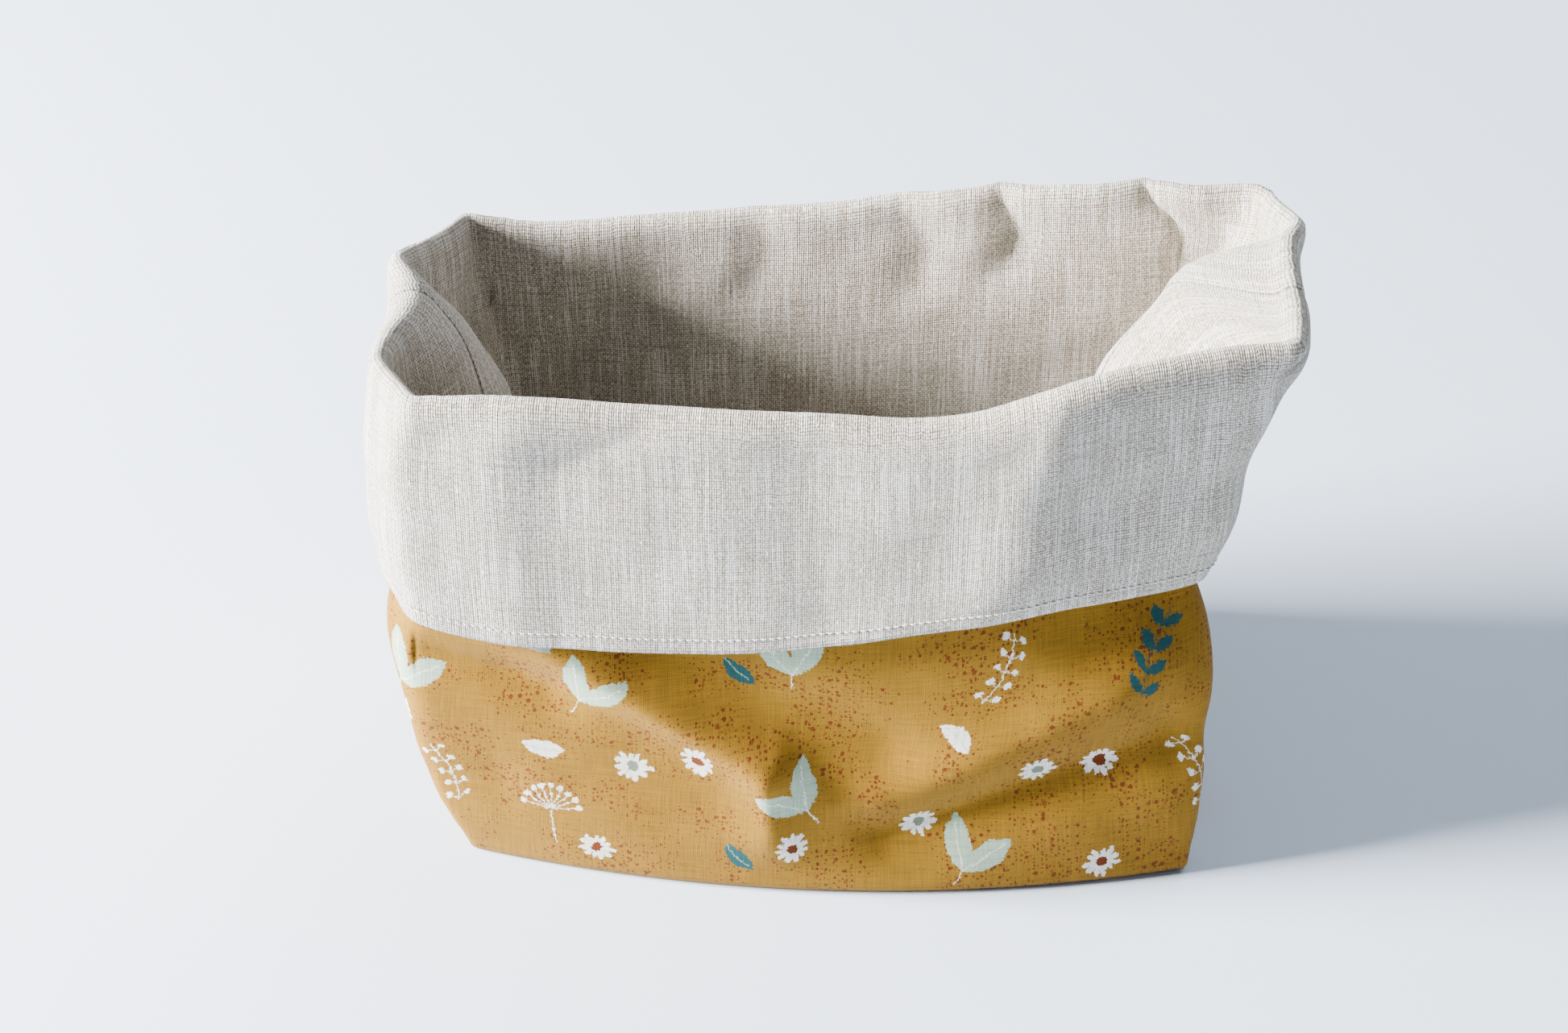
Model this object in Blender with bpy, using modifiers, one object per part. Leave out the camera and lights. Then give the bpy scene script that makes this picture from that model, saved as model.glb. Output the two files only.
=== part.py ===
"""Linen bread bag: printed cotton outside, linen lining turned over as a deep cuff.

Each cloth is one sheet that rises from the flat base, folds outward at the rim and
hangs down to the joined hem.  Both sheets lie either side of one middle surface.
That surface is worked out from level sections of the wall and of the cuff, from the
stations round the rim and from the table of folds.
"""
import bmesh
import bpy
import numpy as np

MM = 0.001

OUTER_THICK = 1.0 * MM
LINING_THICK = 1.1 * MM
HALF_GAP = 0.2 * MM
BASE_SURFACE_Z = OUTER_THICK + HALF_GAP
EDGE_RADIUS = 3.0
SEAM_GAP = 1.0
CUFF_CLEAR = 4.6
LEFT_SEAM_LEAN = 0.10
RIGHT_SEAM_LEAN = 0.052
OUTER_ROLL = 4.0
CENTRE_X = -1.22 * MM
CENTRE_Y = 7.19 * MM

# Level sections, in millimetres; rise is the share of the wall's height.  Each end is pinched
# inward by a depth, most at its own y.
SECTION_COLUMNS = (
    "rise", "left_front", "left_back", "right_front", "right_back", "front", "back",
    "belly_front", "belly_back", "pinch_left", "pinch_right", "left_y", "right_y", "corner", "soft",
)
WALL_SECTIONS = (
    (0.00, -116.5, -116.5, 117.0, 117.5, -74.5, 72.0, 16.0, 7.0, 0.0, 0.0, 0.0, 0.0, 0.00, 1.5),
    (0.14, -129.0, -124.0, 119.8, 119.8, -76.0, 69.0, 13.0, 4.0, 5.0, 6.0, 2.0, 2.0, 0.15, 3.0),
    (0.31, -135.2, -129.0, 121.6, 121.2, -76.5, 63.0, 8.0, 2.0, 14.0, 16.0, 4.0, 4.0, 0.35, 4.0),
    (0.45, -141.0, -133.0, 119.2, 120.0, -76.5, 58.0, 5.0, 1.0, 20.0, 23.0, 5.0, 5.0, 0.70, 4.0),
    (0.58, -138.6, -133.5, 113.0, 117.5, -76.5, 55.0, 3.0, 0.0, 25.0, 30.0, 5.0, 7.0, 1.00, 4.0),
    (0.75, -138.0, -135.0, 118.0, 124.0, -77.0, 50.0, 1.0, 2.5, 28.0, 38.0, 3.0, 9.0, 1.05, 2.6),
    (0.87, -137.0, -137.0, 125.0, 132.5, -78.0, 46.5, 0.5, 6.5, 18.0, 29.0, -4.0, 11.0, 1.00, 1.9),
    (0.95, -135.8, -138.4, 130.5, 138.2, -78.3, 44.6, 1.0, 8.6, 9.0, 22.0, -9.0, 12.0, 1.00, 1.6),
    (1.00, -134.5, -139.5, 136.0, 142.5, -78.5, 43.5, 1.5, 10.0, 1.5, 2.4, -14.0, 0.0, 1.00, 1.4),
)
CUFF_SECTIONS = (
    (0.00, -134.5, -139.5, 136.0, 142.5, -78.5, 43.5, 1.5, 10.0, 1.5, 2.4, -14.0, 0.0, 1.00, 1.4),
    (0.25, -141.0, -143.0, 130.8, 143.0, -83.0, 52.0, 1.5, 7.0, 0.0, 0.0, -15.0, 0.0, 1.00, 3.0),
    (0.50, -142.0, -143.5, 124.2, 136.4, -83.5, 58.0, 2.0, 3.0, 0.0, 0.0, -10.0, 0.0, 1.00, 4.0),
    (0.75, -142.4, -143.0, 123.3, 131.0, -84.0, 61.5, 2.0, 1.5, 0.0, 0.0, -10.0, 0.0, 1.00, 4.0),
    (1.00, -140.0, -141.0, 116.0, 123.0, -84.0, 62.5, 2.7, 2.0, 0.0, 0.0, -10.0, 0.0, 1.00, 4.0),
)
# How far each full corner is cut off, along the end and along the face.
CORNER_CUTS = {
    "front_left": (12.0, 21.0),
    "front_right": (70.0, 21.0),
    "back_right": (9.0, 26.0),
    "back_left": (16.0, 36.0),
}

# Stations round the rim, once round from the left seam by the front; along counts
# half turns of cloth, heights and roll are in millimetres.
STATION_COLUMNS = ("along", "rim", "hem", "roll")
STATIONS = {
    "left seam": (0.00, 177.0, 97.5, 14.0),
    "front left bend": (0.10, 177.0, 102.5, 4.6),
    "front left corner": (0.17, 176.5, 101.0, 5.0),
    "front left": (0.25, 176.3, 93.6, 7.0),
    "front left quarter": (0.33, 174.2, 91.5, 8.0),
    "front middle": (0.51, 172.0, 92.5, 8.0),
    "front dip": (0.55, 171.3, 94.5, 8.0),
    "front rise": (0.61, 173.2, 99.0, 8.0),
    "front shoulder": (0.68, 182.2, 103.0, 8.0),
    "front right": (0.80, 187.8, 104.8, 9.0),
    "front right corner": (0.90, 189.3, 107.5, 6.0),
    "right seam": (1.00, 191.4, 109.0, 7.0),
    "back right bend": (1.075, 192.3, 108.0, 5.4),
    "back right corner": (1.145, 189.4, 106.0, 4.4),
    "beside the back right corner": (1.19, 187.2, 104.0, 5.0),
    "back right": (1.24, 186.0, 102.5, 5.6),
    "back right quarter": (1.36, 182.6, 100.5, 6.0),
    "back middle": (1.52, 174.8, 96.0, 6.0),
    "back left quarter": (1.68, 170.2, 91.5, 6.0),
    "back left": (1.78, 169.2, 88.0, 5.0),
    "back left corner": (1.832, 173.0, 89.0, 4.2),
    "back left facet": (1.885, 174.4, 90.0, 4.4),
    "back left bend": (1.94, 178.0, 92.0, 5.2),
}

# How far the right seam has slipped toward the back, in millimetres, from the base edge
# (level 0) over the rim (1) to the hem (2), and over how much cloth on either side.
SLIP_LEVELS = (0.00, 0.45, 0.70, 0.84, 0.92, 1.00, 1.25, 2.00)
SLIPS = (0.0, 2.0, 7.0, 18.0, 17.0, -18.0, -25.0, -26.0)
SLIP_REACH = 75.0

# Folds run straight from one place on the cloth to another.  Along counts half turns
# from the left seam; level is 0 at the base edge, 1 at the rim and 2 at the hem.
# Depth is outward from the bag, inward where negative; depth and width in millimetres.
FOLD_COLUMNS = ("from_along", "from_level", "to_along", "to_level", "depth", "width")
FOLDS = {
    "left diagonal ridge": (0.290, 0.54, 0.468, 0.28, 5.0, 12.0),
    "end of the diagonal ridge": (0.472, 0.26, 0.466, 0.14, 3.2, 12.0),
    "hollow behind the ridge": (0.40, 0.50, 0.56, 0.32, -4.0, 15.0),
    "left trough under the hem": (0.21, 0.46, 0.30, 0.41, -3.4, 12.0),
    "left low dent": (0.19, 0.20, 0.24, 0.20, -1.5, 12.0),
    "right long valley": (0.56, 0.13, 0.79, 0.27, -5.0, 13.0),
    "end of the long valley": (0.80, 0.27, 0.86, 0.26, -1.5, 12.0),
    "right long ridge": (0.56, 0.22, 0.80, 0.42, 3.2, 12.0),
    "right short ridge": (0.79, 0.48, 0.76, 0.40, 1.2, 12.0),
    "back rim dent": (1.363, 1.00, 1.369, 0.86, 2.5, 11.0),
    "back right crease": (1.240, 1.00, 1.222, 0.78, 3.0, 12.0),
    "back right dent": (1.192, 0.98, 1.184, 0.90, -1.5, 11.0),
    "back middle dent": (1.452, 0.98, 1.440, 0.82, 2.0, 11.0),
    "back left dent": (1.580, 0.98, 1.585, 0.84, 1.5, 12.0),
    "back left hollow": (1.68, 0.85, 1.74, 0.60, 3.0, 18.0),
    "cuff left swell": (0.255, 1.20, 0.285, 1.90, 1.5, 14.0),
    "cuff middle hollow": (0.500, 1.20, 0.530, 1.90, -1.5, 15.0),
    "cuff right swell": (0.700, 1.30, 0.690, 1.90, 1.5, 15.0),
    "cuff short dent": (0.303, 1.25, 0.351, 1.09, -1.2, 10.0),
}
WALL_SPAN = 180.0
CUFF_SPAN = 82.0

# Where the columns stand along half a turn of cloth, in millimetres from a seam.
HALF_TURN = 378.0
BOXED_CORNER = 73.0
END_COLUMNS = (0.3, 1.6, 11.0, 24.0, 38.0, 52.0, 63.0)
FACE_COLUMNS = 22
WALL_ROWS = (0.0, 0.013, 0.028, 0.065, 0.115, 0.165, 0.215, 0.27, 0.325, 0.38, 0.435,
             0.49, 0.55, 0.62, 0.69, 0.76, 0.83, 0.89, 0.94, 0.975, 1.0)
CUFF_ROWS = (0.06, 0.12, 0.21, 0.34, 0.48, 0.64, 0.82, 1.0)

RING_STEP = 1.5
# Farther out than this along x is an end of the bag; the front half of a ring is longer than this.
END_FROM = 40.0
FRONT_LEAST = 60.0
PROFILE_STEP = 1.0
PROFILE_SOFT = 3.0
# The first millimetres above the base edge keep their radius; the rounding comes in over the next ones.
PROFILE_KEPT = 6.0
PROFILE_EASE = 18.0

# Share of the wall's height above which the fold at the rim begins to widen.
ROLL_FROM = 0.72
# Share of the cuff's drop by which the fold's width is gone again.
ROLL_GONE = 0.25
# Height of the arch of the rim: a least height and a share of the fold's width.
ARCH_LEAST = 3.0
ARCH_SHARE = 0.28
# Steps in the dense levels from which the columns' lines are drawn.
EDGE_STEPS = 5
WALL_STEPS = 44
ARCH_STEPS = 9
CUFF_STEPS = 26
# Height over which the folds fade in above the base.
FOLD_EASE = 14.0
# The wall is kept clear of the cuff from this far below the hem, coming in over this height.
CLEAR_BELOW = 14.0
CLEAR_EASE = 20.0
# How far the columns on the faces draw together toward the corners.
COLUMN_DRAW = 0.055

COTTON_COLOUR = (0.55, 0.31, 0.05, 1.0)
COTTON_ROUGHNESS = 0.85
LINEN_COLOUR = (0.74, 0.70, 0.64, 1.0)
LINEN_ROUGHNESS = 0.9


def columns_of(table, names):
    """One array for each named column of a table."""
    return dict(zip(names, np.array(table, float).T))


def smooth_curve(xs, ys, at):
    """Values at some places of a smooth curve through the points, without overshoot at the ends."""
    slopes = np.gradient(ys, xs)
    slot = np.clip(np.searchsorted(xs, at, side="right") - 1, 0, len(xs) - 2)
    width = xs[slot + 1] - xs[slot]
    t = np.clip((at - xs[slot]) / width, 0.0, 1.0)
    start = (2 * t**3 - 3 * t**2 + 1) * ys[slot] + (t**3 - 2 * t**2 + t) * width * slopes[slot]
    end = (3 * t**2 - 2 * t**3) * ys[slot + 1] + (t**3 - t**2) * width * slopes[slot + 1]
    return start + end


def section_at(table, rise):
    """The named sizes of the section at a share of the height."""
    named = columns_of(table, SECTION_COLUMNS)
    return {key: float(smooth_curve(named["rise"], named[key], np.array(rise))) for key in SECTION_COLUMNS}


def station_values(along):
    """Rim height, hem height and roll at places along the cloth, counted in half turns."""
    named = columns_of(list(STATIONS.values()), STATION_COLUMNS)
    xs = named["along"]
    turn = np.concatenate([xs[-3:] - 2.0, xs, xs[:3] + 2.0])
    values = {}
    for key in ("rim", "hem", "roll"):
        ys = np.concatenate([named[key][-3:], named[key], named[key][:3]])
        values[key] = smooth_curve(turn, ys, np.mod(along, 2.0))
    return values


def straight(start, end):
    """Evenly spaced points from one point up to, but not at, another."""
    start = np.array(start)
    end = np.array(end)
    count = max(2, int(np.ceil(np.linalg.norm(end - start) / RING_STEP)))
    return start + (end - start) * (np.arange(count) / count)[:, None]


def bellied(points, depth):
    """The points bowed along y, most in the middle."""
    share = np.linspace(-1.0, 1.0, len(points))
    points[:, 1] += depth * (1.0 - share**2)
    return points


def pinched(points, depth, centre):
    """The end's points pushed along x where the end folds inward."""
    y = points[:, 1]
    reach = np.where(y < centre, centre - y.min(), y.max() - centre) + 1.0
    points[:, 0] += depth * np.cos(0.5 * np.pi * np.clip((y - centre) / reach, -1.0, 1.0)) ** 2
    return points


def softened(points, sigma):
    """A closed ring of points rounded over a length in millimetres."""
    reach = int(np.ceil(3.0 * sigma / RING_STEP))
    offsets = np.arange(-reach, reach + 1)
    weights = np.exp(-0.5 * (offsets * RING_STEP / sigma) ** 2)
    weights /= weights.sum()
    return sum(w * np.roll(points, -k, axis=0) for k, w in zip(offsets, weights))


def ring(sizes):
    """The closed outline of one section, seen from above, in millimetres."""
    cut = {name: (sizes["corner"] * x, sizes["corner"] * y) for name, (x, y) in CORNER_CUTS.items()}
    front = sizes["front"]
    back = sizes["back"]
    left_front = (sizes["left_front"], front + cut["front_left"][1])
    front_left = (sizes["left_front"] + cut["front_left"][0], front)
    front_right = (sizes["right_front"] - cut["front_right"][0], front)
    right_front = (sizes["right_front"], front + cut["front_right"][1])
    right_back = (sizes["right_back"], back - cut["back_right"][1])
    back_right = (sizes["right_back"] - cut["back_right"][0], back)
    back_left = (sizes["left_back"] + cut["back_left"][0], back)
    left_back = (sizes["left_back"], back - cut["back_left"][1])
    outline = np.concatenate([
        pinched(straight(left_back, left_front), sizes["pinch_left"], sizes["left_y"]),
        straight(left_front, front_left),
        bellied(straight(front_left, front_right), -sizes["belly_front"]),
        straight(front_right, right_front),
        pinched(straight(right_front, right_back), -sizes["pinch_right"], sizes["right_y"]),
        straight(right_back, back_right),
        bellied(straight(back_right, back_left), sizes["belly_back"]),
        straight(back_left, left_back),
    ])
    return softened(outline, sizes["soft"])


def lengths_along(points):
    """Distance along a line of points to each of them."""
    steps = np.linalg.norm(np.diff(points, axis=0), axis=1)
    return np.concatenate([[0.0], np.cumsum(steps)])


def between(points, shares):
    """Points at shares of a line's length."""
    along = lengths_along(points)
    return np.stack([np.interp(shares * along[-1], along, points[:, k]) for k in range(points.shape[1])], axis=1)


def turned_to(points, y, side):
    """The ring started at its crossing of a level of y on the left (-1) or the right (1) side."""
    after = np.roll(points, -1, axis=0)
    crosses = ((points[:, 1] - y) * (after[:, 1] - y) <= 0.0) & (points[:, 0] * side > END_FROM)
    first = int(np.flatnonzero(crosses)[0])
    start, end = points[first], after[first]
    share = (y - start[1]) / (end[1] - start[1] + 1e-12)
    return np.concatenate([[start + share * (end - start)], np.roll(points, -first - 1, axis=0)])


def half_rings(points, left_y, right_y):
    """The front and the back half of a ring, each from seam to seam."""
    front = turned_to(points, left_y, -1)
    whole = lengths_along(np.concatenate([front, front[:1]]))
    right = turned_to(points, right_y, 1)[0]
    gaps = np.linalg.norm(front - right, axis=1)
    near = int(np.argmin(np.where(whole[:-1] > FRONT_LEAST, gaps, np.inf)))
    near += 1 if front[near][1] < right_y else 0
    return np.concatenate([front[:near], [right]]), np.concatenate([[right], front[near:], front[:1]])


def column_shares():
    """Shares of half a turn of cloth at which the columns stand."""
    ends = np.array(END_COLUMNS + (BOXED_CORNER,))
    face = HALF_TURN - 2.0 * BOXED_CORNER
    even = np.arange(1, FACE_COLUMNS) / FACE_COLUMNS
    eased = even - COLUMN_DRAW * np.sin(2.0 * np.pi * even)
    return np.concatenate([ends, BOXED_CORNER + face * eased, HALF_TURN - ends[::-1]]) / HALF_TURN


def ring_columns(sizes, left_y, right_y, slip):
    """The section's points at every column, front half then back half.

    Near the right seam the columns are moved along the ring by the slip.
    """
    shares = column_shares()
    front, back = half_rings(ring(sizes), left_y, right_y)
    whole = np.concatenate([front, back[1:]])
    along = lengths_along(whole)
    seam = lengths_along(front)[-1]
    at = np.concatenate([shares * seam, seam + shares * (along[-1] - seam)])
    at = at + slip * ease(1.0 - np.abs(at - seam) / SLIP_REACH)
    return np.stack([np.interp(at, along, axis) for axis in whole.T], axis=1)


def column_places():
    """Where the columns stand in half turns of cloth."""
    shares = column_shares()
    return np.concatenate([shares, 1.0 + shares])


def outward(points):
    """Unit outward directions in plan for a ring of points that runs by the front to the right."""
    along = np.roll(points, -1, axis=0) - np.roll(points, 1, axis=0)
    side = np.stack([along[:, 1], -along[:, 0]], axis=1)
    return side / np.linalg.norm(side, axis=1)[:, None]


def level(table, share, height, offset):
    """The points of one level of the wall or cuff, moved outward by an offset."""
    sizes = section_at(table, share)
    reached = share + (1.0 if table is CUFF_SECTIONS else 0.0)
    slip = smooth_curve(np.array(SLIP_LEVELS), np.array(SLIPS), np.array(reached))
    half = len(height) // 2
    left_z = 0.5 * (height[0] + height[-1])
    right_z = 0.5 * (height[half - 1] + height[half])
    plan = ring_columns(sizes, -LEFT_SEAM_LEAN * left_z, -RIGHT_SEAM_LEAN * right_z, slip)
    plan = plan + outward(plan) * offset[:, None]
    return np.concatenate([plan, height[:, None]], axis=1)


def ease(value):
    """A soft step from 0 to 1."""
    value = np.clip(value, 0.0, 1.0)
    return value * value * (3.0 - 2.0 * value)


def dense_levels():
    """Levels close together from the base edge up the wall, over the rim and down the cuff."""
    values = station_values(column_places())
    rim = values["rim"]
    roll = values["roll"]
    arch = ARCH_LEAST + ARCH_SHARE * roll
    still = np.zeros_like(rim)
    levels = []
    for turn in np.linspace(0.0, 0.5 * np.pi, EDGE_STEPS)[:-1]:
        height = still + EDGE_RADIUS * (1.0 - np.cos(turn))
        levels.append(level(WALL_SECTIONS, 0.0, height, still - EDGE_RADIUS * (1.0 - np.sin(turn))))
    for share in np.linspace(0.0, 1.0, WALL_STEPS):
        height = EDGE_RADIUS + (rim - arch - EDGE_RADIUS) * share
        widening = ease((share - ROLL_FROM) / (1.0 - ROLL_FROM))
        levels.append(level(WALL_SECTIONS, share, height, (OUTER_ROLL - roll) * widening))
    for turn in np.linspace(0.0, np.pi, ARCH_STEPS)[1:-1]:
        height = rim - arch + arch * np.sin(turn)
        levels.append(level(CUFF_SECTIONS, 0.0, height, OUTER_ROLL - 0.5 * roll * (1.0 + np.cos(turn))))
    for share in np.linspace(0.0, 1.0, CUFF_STEPS):
        height = rim - arch + (values["hem"] - rim + arch) * share
        levels.append(level(CUFF_SECTIONS, share, height, still + OUTER_ROLL * (1.0 - ease(share / ROLL_GONE))))
    return np.array(levels)


def smooth_profile(profile):
    """One column's line from base edge to hem, evenly spaced and rounded above the base edge."""
    length = lengths_along(profile)[-1]
    count = int(length / PROFILE_STEP)
    even = between(profile, np.linspace(0.0, 1.0, count))
    reach = int(3 * PROFILE_SOFT)
    offsets = np.arange(-reach, reach + 1)
    weights = np.exp(-0.5 * (offsets / PROFILE_SOFT) ** 2)
    padded = np.concatenate([2 * even[:1] - even[reach:0:-1], even, 2 * even[-1:] - even[-2:-reach - 2:-1]])
    soft = sum(w * padded[reach + k: reach + k + count] for k, w in zip(offsets, weights / weights.sum()))
    keep = ease((np.arange(count) * PROFILE_STEP - PROFILE_KEPT) / PROFILE_EASE)[:, None]
    return even + keep * (soft - even)


def normals_of(grid):
    """Unit normals of a grid of points, pointing to the printed cotton's side."""
    along = np.roll(grid, -1, axis=1) - np.roll(grid, 1, axis=1)
    normal = np.cross(along, np.gradient(grid, axis=0))
    return normal / np.linalg.norm(normal, axis=2, keepdims=True)


def across_cloth(along, level):
    """Place on the flat cloth, in millimetres."""
    wall = np.minimum(level, 1.0) * WALL_SPAN
    return np.stack([along * HALF_TURN, wall + np.maximum(level - 1.0, 0.0) * CUFF_SPAN], axis=-1)


def folded(grid):
    """The grid pushed outward or inward along the folds."""
    levels = np.concatenate([WALL_ROWS, 1.0 + np.array(CUFF_ROWS)])
    places = across_cloth(*np.meshgrid(column_places(), levels))
    push = np.zeros(grid.shape[:2])
    for fold in FOLDS.values():
        size = dict(zip(FOLD_COLUMNS, fold))
        start = across_cloth(size["from_along"], np.array(size["from_level"]))
        run = across_cloth(size["to_along"], np.array(size["to_level"])) - start
        share = np.clip(((places - start) @ run) / (run @ run), 0.0, 1.0)
        away = np.linalg.norm(places - start - share[..., None] * run, axis=-1)
        push += size["depth"] * np.exp(-((away / size["width"]) ** 2))
    push *= ease(grid[:, :, 2] / FOLD_EASE)
    plan = np.array([outward(row[:, :2]) for row in grid])
    grid[:, :, :2] += plan * push[..., None]
    return grid


def kept_clear(grid):
    """The grid with the wall pushed inward where it stands too near the cuff that hangs over it."""
    crest = len(WALL_ROWS) - 1
    cuff = grid[crest + 2:].reshape(-1, 3)
    facing = normals_of(grid)[crest + 2:].reshape(-1, 3)
    for row in range(1, crest - 2):
        for column in range(grid.shape[1]):
            point = grid[row, column]
            near = int(np.argmin(np.linalg.norm(cuff - point, axis=1)))
            depth = float((point - cuff[near]) @ facing[near])
            hem = grid[-1, column, 2]
            lack = max(0.0, CUFF_CLEAR - depth) * float(ease((point[2] - hem + CLEAR_BELOW) / CLEAR_EASE))
            grid[row, column] = point + lack * facing[near] * np.array([1.0, 1.0, 0.0])
    return grid


def with_seams(grid):
    """The grid with the two columns at each side seam set a hair apart."""
    half = grid.shape[1] // 2
    for before, after, back, ahead in ((-1, 0, -3, 2), (half - 1, half, half - 3, half + 2)):
        middle = 0.5 * (grid[:, before] + grid[:, after])
        along = grid[:, ahead] - grid[:, back]
        along /= np.linalg.norm(along, axis=1)[:, None]
        grid[:, before] = middle - 0.5 * SEAM_GAP * along
        grid[:, after] = middle + 0.5 * SEAM_GAP * along
    return grid


def middle_surface():
    """Grid of points of the middle surface: rows from base edge to hem, columns round the bag."""
    levels = dense_levels()
    columns = []
    for place in range(levels.shape[1]):
        profile = smooth_profile(levels[:, place])
        crest = int(np.argmax(profile[:, 2]))
        wall = between(profile[: crest + 1], np.array(WALL_ROWS))
        cuff = between(profile[crest:], np.array(CUFF_ROWS))
        columns.append(np.concatenate([wall, cuff]))
    grid = np.array(columns).transpose(1, 0, 2)
    grid[0, :, 2] = 0.0
    return with_seams(kept_clear(folded(grid)))


def base_grid(edge):
    """Half of the flat base: rows from the panel's face to the bottom seam, columns along the face."""
    ends = len(END_COLUMNS)
    face = edge[ends: len(edge) - ends]
    near = edge[ends::-1]
    far = edge[len(edge) - ends - 1:]
    seam = np.linspace(edge[0], edge[-1], len(face))
    u = (lengths_along(face) / lengths_along(face)[-1])[None, :, None]
    v = (lengths_along(near) / lengths_along(near)[-1])[:, None, None]
    across = (1 - u) * near[:, None] + u * far[:, None]
    deep = (1 - v) * face[None] + v * seam[None]
    corners = (1 - v) * ((1 - u) * face[0] + u * face[-1]) + v * ((1 - u) * seam[0] + u * seam[-1])
    return across + deep - corners


def clear_scene():
    """Remove everything from the scene."""
    for item in list(bpy.data.objects):
        bpy.data.objects.remove(item, do_unlink=True)


def cloth_material(name, colour, roughness):
    """A plain matt cloth material."""
    material = bpy.data.materials.new(name)
    material.use_nodes = True
    shader = material.node_tree.nodes["Principled BSDF"]
    shader.inputs["Base Color"].default_value = colour
    shader.inputs["Roughness"].default_value = roughness
    return material


def panel_object(name, grid, base, collection):
    """One panel's middle surface as an open mesh: half of the wall, fold and cuff, and half of the base."""
    rows, columns = grid.shape[:2]
    deep, across = base.shape[:2]
    ends = len(END_COLUMNS)
    vertices = [tuple(point) for point in grid.reshape(-1, 3)]
    index = np.zeros((deep, across), int)
    index[0] = np.arange(ends, columns - ends)
    index[:, 0] = np.arange(ends, -1, -1)
    index[:, -1] = np.arange(columns - ends - 1, columns)
    for row in range(1, deep):
        for column in range(1, across - 1):
            index[row, column] = len(vertices)
            vertices.append(tuple(base[row, column]))
    faces = []
    for row in range(rows - 1):
        for column in range(columns - 1):
            low, high = row * columns + column, (row + 1) * columns + column
            faces.append((low, low + 1, high + 1, high))
    for near, far in zip(index[:-1], index[1:]):
        for column in range(across - 1):
            faces.append((int(near[column]), int(far[column]), int(far[column + 1]), int(near[column + 1])))
    mesh = bpy.data.meshes.new(name)
    mesh.from_pydata(vertices, [], faces)
    shape = bmesh.new()
    shape.from_mesh(mesh)
    bmesh.ops.triangulate(shape, faces=shape.faces[:], quad_method="SHORT_EDGE")
    shape.to_mesh(mesh)
    shape.free()
    mesh.shade_smooth()
    item = bpy.data.objects.new(name, mesh)
    collection.objects.link(item)
    return item


def thicken(item, thickness, side):
    """Give the sheet its thickness on one side of the middle surface."""
    shell = item.modifiers.new("thickness", "SOLIDIFY")
    shell.thickness = thickness
    shell.offset = side * (1.0 + 2.0 * HALF_GAP / thickness)
    shell.use_even_offset = True
    shell.use_quality_normals = True


def build_bag():
    """Both cloths, each as a front and a back panel."""
    clear_scene()
    collection = bpy.data.collections.new("Bread bag")
    bpy.context.scene.collection.children.link(collection)
    shift = np.array([CENTRE_X, CENTRE_Y, BASE_SURFACE_Z])
    grid = middle_surface()
    half = grid.shape[1] // 2
    halves = {"front": grid[:, :half], "back": grid[:, half:]}
    for side, part in halves.items():
        base = base_grid(part[0]) * MM + shift
        part = part * MM + shift
        outer = panel_object("outer_" + side, part, base, collection)
        lining = panel_object("lining_" + side, part, base, collection)
        outer.data.materials.append(cloth_material("cotton " + side, COTTON_COLOUR, COTTON_ROUGHNESS))
        lining.data.materials.append(cloth_material("linen " + side, LINEN_COLOUR, LINEN_ROUGHNESS))
        thicken(outer, OUTER_THICK, 1.0)
        thicken(lining, LINING_THICK, -1.0)


build_bag()
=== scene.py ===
"""Looks of a linen bread bag: printed cotton outside, linen lining turned over as a deep cuff.

Both cloths are thin sheets either side of one middle surface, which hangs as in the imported
frame: level sections of the wall and the cuff, stations round the rim, folds and finer creases.
"""
import logging
import math
from dataclasses import dataclass
from enum import Enum
from typing import NamedTuple, Sequence

import bpy
import numpy as np
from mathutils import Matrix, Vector
from mathutils.kdtree import KDTree


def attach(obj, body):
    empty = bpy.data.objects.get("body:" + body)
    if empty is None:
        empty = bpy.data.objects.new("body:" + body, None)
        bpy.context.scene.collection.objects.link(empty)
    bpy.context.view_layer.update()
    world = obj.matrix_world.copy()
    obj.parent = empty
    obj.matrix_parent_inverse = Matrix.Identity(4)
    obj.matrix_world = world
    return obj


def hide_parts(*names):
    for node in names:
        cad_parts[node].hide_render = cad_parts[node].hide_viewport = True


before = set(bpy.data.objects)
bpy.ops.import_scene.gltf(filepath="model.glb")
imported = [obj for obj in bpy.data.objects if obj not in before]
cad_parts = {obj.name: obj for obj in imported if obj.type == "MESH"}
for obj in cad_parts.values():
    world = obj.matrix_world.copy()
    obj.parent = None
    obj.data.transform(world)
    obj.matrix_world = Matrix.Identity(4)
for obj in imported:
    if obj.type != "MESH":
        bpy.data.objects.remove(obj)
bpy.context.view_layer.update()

MM = 0.001
# A soft bell is cut off at this many times its width.
BELL_REACH = 3.0
log = logging.getLogger("bread bag")


class Section(NamedTuple):
    """One level section of the bag in plan, in millimetres; rise is a share of the height."""

    rise: float
    left_front: float
    left_back: float
    right_front: float
    right_back: float
    front: float
    back: float
    belly_front: float
    belly_back: float
    pinch_left: float
    pinch_right: float
    left_y: float
    right_y: float
    corner: float
    soft: float


# The wall's last section, at the rim, with which the cuff starts too.
RIM = Section(1.00, -134.5, -139.5, 136.0, 142.5, -78.5, 43.5, 1.5, 10.0, 1.5, 2.4, -14.0, 0.0, 1.00, 0.8)


class Station(NamedTuple):
    """A place along the rim in half turns of cloth, with its heights and its fold's width in mm."""

    along: float
    rim: float
    hem: float
    roll: float


class Fold(NamedTuple):
    """A straight fold between two places on the cloth.

    Along counts half turns of cloth from the left seam; level is 0 at the base edge, 1 at the
    rim and 2 at the hem. Depth is outward from the bag. Crisp is 0 for a round fold and 1 for
    a sharp one. Depth and width are in millimetres.
    """

    from_along: float
    from_level: float
    to_along: float
    to_level: float
    depth: float
    width: float
    crisp: float = 0.0


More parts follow.
